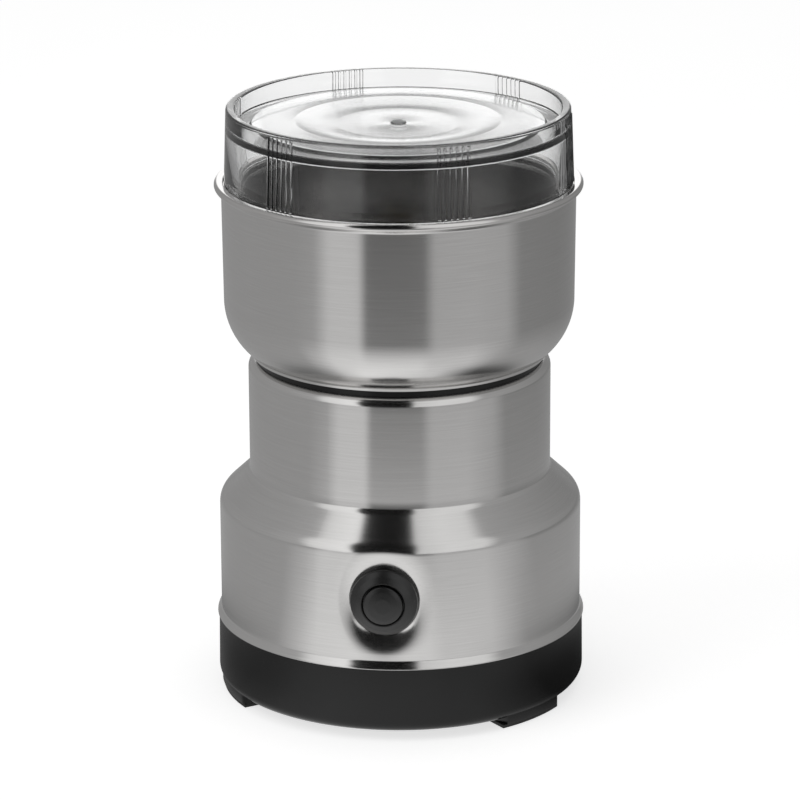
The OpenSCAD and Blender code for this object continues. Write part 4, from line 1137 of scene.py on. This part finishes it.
# %% Floor and sky
FLOOR_HALF, FLOOR_GLOW, SKY_SEEN, SKY_ON_DULL = 8, 0.68, 0.74, 0.25


def stage_piece(name, mesh, material):
    mesh.materials.append(material)
    made = placed(name, mesh)
    return made


def flat_piece(name, corners, material):
    return stage_piece(name, new_mesh(name, corners, [tuple(range(len(corners)))]), material)


floor_finish, graph, shader = new_finish("pale floor", 0.7, Specular_IOR_Level=0.0,
                                         Emission_Color=(1, 1, 1, 1), Emission_Strength=FLOOR_GLOW)
shade = effect(graph, "handling", size=400)["Shade"]
graph.put(shader.inputs["Base Color"], graph.colour_between(shade, (0.92,) * 3, (0.94,) * 3))
flat_piece("floor", [(x * FLOOR_HALF, y * FLOOR_HALF, 0) for x, y in ((-1, -1), (1, -1), (1, 1), (-1, 1))],
           floor_finish)

world = bpy.data.worlds.new("studio")
world.use_nodes = True
bpy.context.scene.world = world
world.cycles_visibility.glossy = False
world.cycles.sampling_method = "NONE"
# What is seen directly or through the clear lid is bright, and dull surfaces get a dimmer sky
sky = Graph(world.node_tree)
background = world.node_tree.nodes["Background"].inputs
background["Color"].default_value = (1, 1, 1, 1)
dull = sky.add("ShaderNodeLightPath", output="Is Diffuse Ray")
sky.put(background["Strength"], sky.range(dull, 0, 1, SKY_SEEN, SKY_ON_DULL))


# %% Paint of the studio
# Stops are (degrees round the line of sight, radiance); 0 is at the camera and right is positive.
ABOVE = (
    (-180, 0.33), (-120, 0.40), (-88, 0.43), (-64, 0.50), (-55, 0.98), (-40, 1.12), (-31, 1.22),
    (-28, 0.015), (8, 0.006), (11, 0.86), (30, 0.98), (52, 0.93), (62, 0.46), (100, 0.38), (150, 0.28),
    (180, 0.33),
)
FLOOR_FAR = (
    (-180, 0.27), (-140, 0.36), (-110, 0.39), (-54, 0.39), (-44, 0.68), (-25, 0.69), (-20, 0.13),
    (15, 0.13), (22, 0.47), (70, 0.49), (82, 0.27), (120, 0.25), (180, 0.27),
)
FLOOR_NEAR = (
    (-180, 0.37), (-110, 0.40), (-68, 0.44), (-45, 0.96), (-26, 1.00), (-20, 1.10), (14, 1.08),
    (22, 0.84), (48, 0.84), (70, 0.47), (110, 0.46), (180, 0.37),
)
# Close to the grinder at the right the card is dark: a painted shadow of the grinder on the floor
FLOOR_CLOSE = (
    (-180, 0.12), (-90, 0.16), (-74, 0.22), (-58, 0.44), (-46, 0.80), (-29, 1.10), (0, 1.00),
    (30, 0.82), (43, 0.52), (55, 0.22), (66, 0.03), (95, 0.02), (180, 0.12),
)


def painted_round(graph, angle, stops):
    """A shade that depends on an angle in radians only."""
    ramp = graph.add("ShaderNodeValToRGB", {0: graph.range(angle, -pi, pi, 0, 1)})
    marks = ramp.socket.node.color_ramp.elements
    while len(marks) < len(stops):
        marks.new(0.5)
    for mark, (angle, light) in zip(marks, stops):
        mark.position = (angle + 180) / 360
        mark.color = (light, light, light, 1)
    return ramp


def camera_axes(graph):
    """Object coordinates turned to the camera: right, towards it, and up."""
    x, y, z = object_axes(graph)
    c, s = cos(CAMERA_TURN), sin(CAMERA_TURN)
    return x * c + y * s, x * s - y * c, z


def glowing(name, paint):
    """A surface that shines on reflections only: any other ray goes through it."""
    material = bpy.data.materials.new(name)
    material.use_nodes = True
    material.node_tree.nodes.remove(material.node_tree.nodes["Principled BSDF"])
    graph = Graph(material.node_tree)
    mirrored = graph.add("ShaderNodeLightPath", output="Glossy Depth").math("MINIMUM", 1.0)
    glow = graph.add("ShaderNodeEmission", {"Color": (1, 1, 1, 1), "Strength": paint(graph)})
    show(graph, mirrored, graph.add("ShaderNodeBsdfTransparent"), glow)
    material.cycles.emission_sampling = "NONE"
    return material


def seen_in_reflections(made):
    made.visible_camera = made.visible_diffuse = made.visible_shadow = False


# %% Dome
DOME_R, DOME_EYE = 1.5, 0.09
BACKDROP_RISE, BACKDROP_HALF, BACKDROP_GLOW = (16, 52), (9, 17), 1.12


def dome_paint(graph):
    right, near, up = camera_axes(graph)
    up = up - DOME_EYE
    sight = near * cos(CAMERA_RISE) + up * sin(CAMERA_RISE)
    light = painted_round(graph, right.math("ARCTAN2", sight), ABOVE)
    height, behind = up.math("ARCTAN2", -near), right.math("ARCTAN2", -near).math("ABSOLUTE")
    low, middle = (graph.range(angle, *map(radians, limits), 1, 0, smooth=True)
                   for angle, limits in ((height, BACKDROP_RISE), (behind, BACKDROP_HALF)))
    return light + low * middle * BACKDROP_GLOW


dome_mesh = turned("dome", arc(0, 0, DOME_R / MM, 0, 90, 24), even_angles(96), closed=False)
seen_in_reflections(stage_piece("dome", dome_mesh, glowing("dome paint", dome_paint)))

# %% Floor in reflections
NEAR_REACH, NEAR_POWER, CLOSE_REACH, CLOSE_POWER, CARD_Z = 0.21, 3.0, 0.098, 10.0, 0.0004


def share_within(away, half_way, power):
    """1 close to the shaft, a half at half_way, 0 far off; the power says how quickly it falls."""
    return 1.0 / ((away / half_way).math("POWER", power) + 1.0)


def shade_between(share, first, second):
    return first + (second - first) * share


def floor_paint(graph):
    right, near, _ = camera_axes(graph)
    away = distance(right, near)
    far, near_by, close = (painted_round(graph, right.math("ARCTAN2", near), stops)
                           for stops in (FLOOR_FAR, FLOOR_NEAR, FLOOR_CLOSE))
    light = shade_between(share_within(away, NEAR_REACH, NEAR_POWER), far, near_by)
    return shade_between(share_within(away, CLOSE_REACH, CLOSE_POWER), light, close)


floor_card = flat_piece("floor card", [(DOME_R * sin(a), -DOME_R * cos(a), CARD_Z)
                                       for a in even_angles(64)],
                        glowing("floor paint", floor_paint))
seen_in_reflections(floor_card)
print("studio of", DOME_R, "m with", len(ABOVE), "stops above and", len(FLOOR_FAR), "on the floor")


# %% Soft boxes for dull surfaces
def studio(side, forward, height):
    """A point of the studio: side to the camera's right, forward away from the camera."""
    c, s = cos(CAMERA_TURN), sin(CAMERA_TURN)
    return Vector((side * c - forward * s, side * s + forward * c, height))


def soft_box(name, centre, target, width, height, radiance):
    """A rectangle of light for what is dull. Reflections see the dome in its place."""
    light = bpy.data.lights.new(name, "AREA")
    light.shape = "RECTANGLE"
    light.size, light.size_y = width, height
    light.energy = radiance * pi * width * height
    made = placed(name, light)
    made.location = centre
    made.rotation_mode = "QUATERNION"
    made.rotation_quaternion = (Vector(target) - centre).to_track_quat("-Z", "Y")
    made.visible_camera = made.visible_glossy = False


soft_box("left box", studio(-0.9, -0.6, 0.9), (0, 0, 0.08), 0.8, 1.2, 0.8)
soft_box("top box", studio(0, 0.1, 1.6), (0, 0, 0), 1.6, 1.6, 0.35)

# %% Finish
bpy.context.view_layer.update()
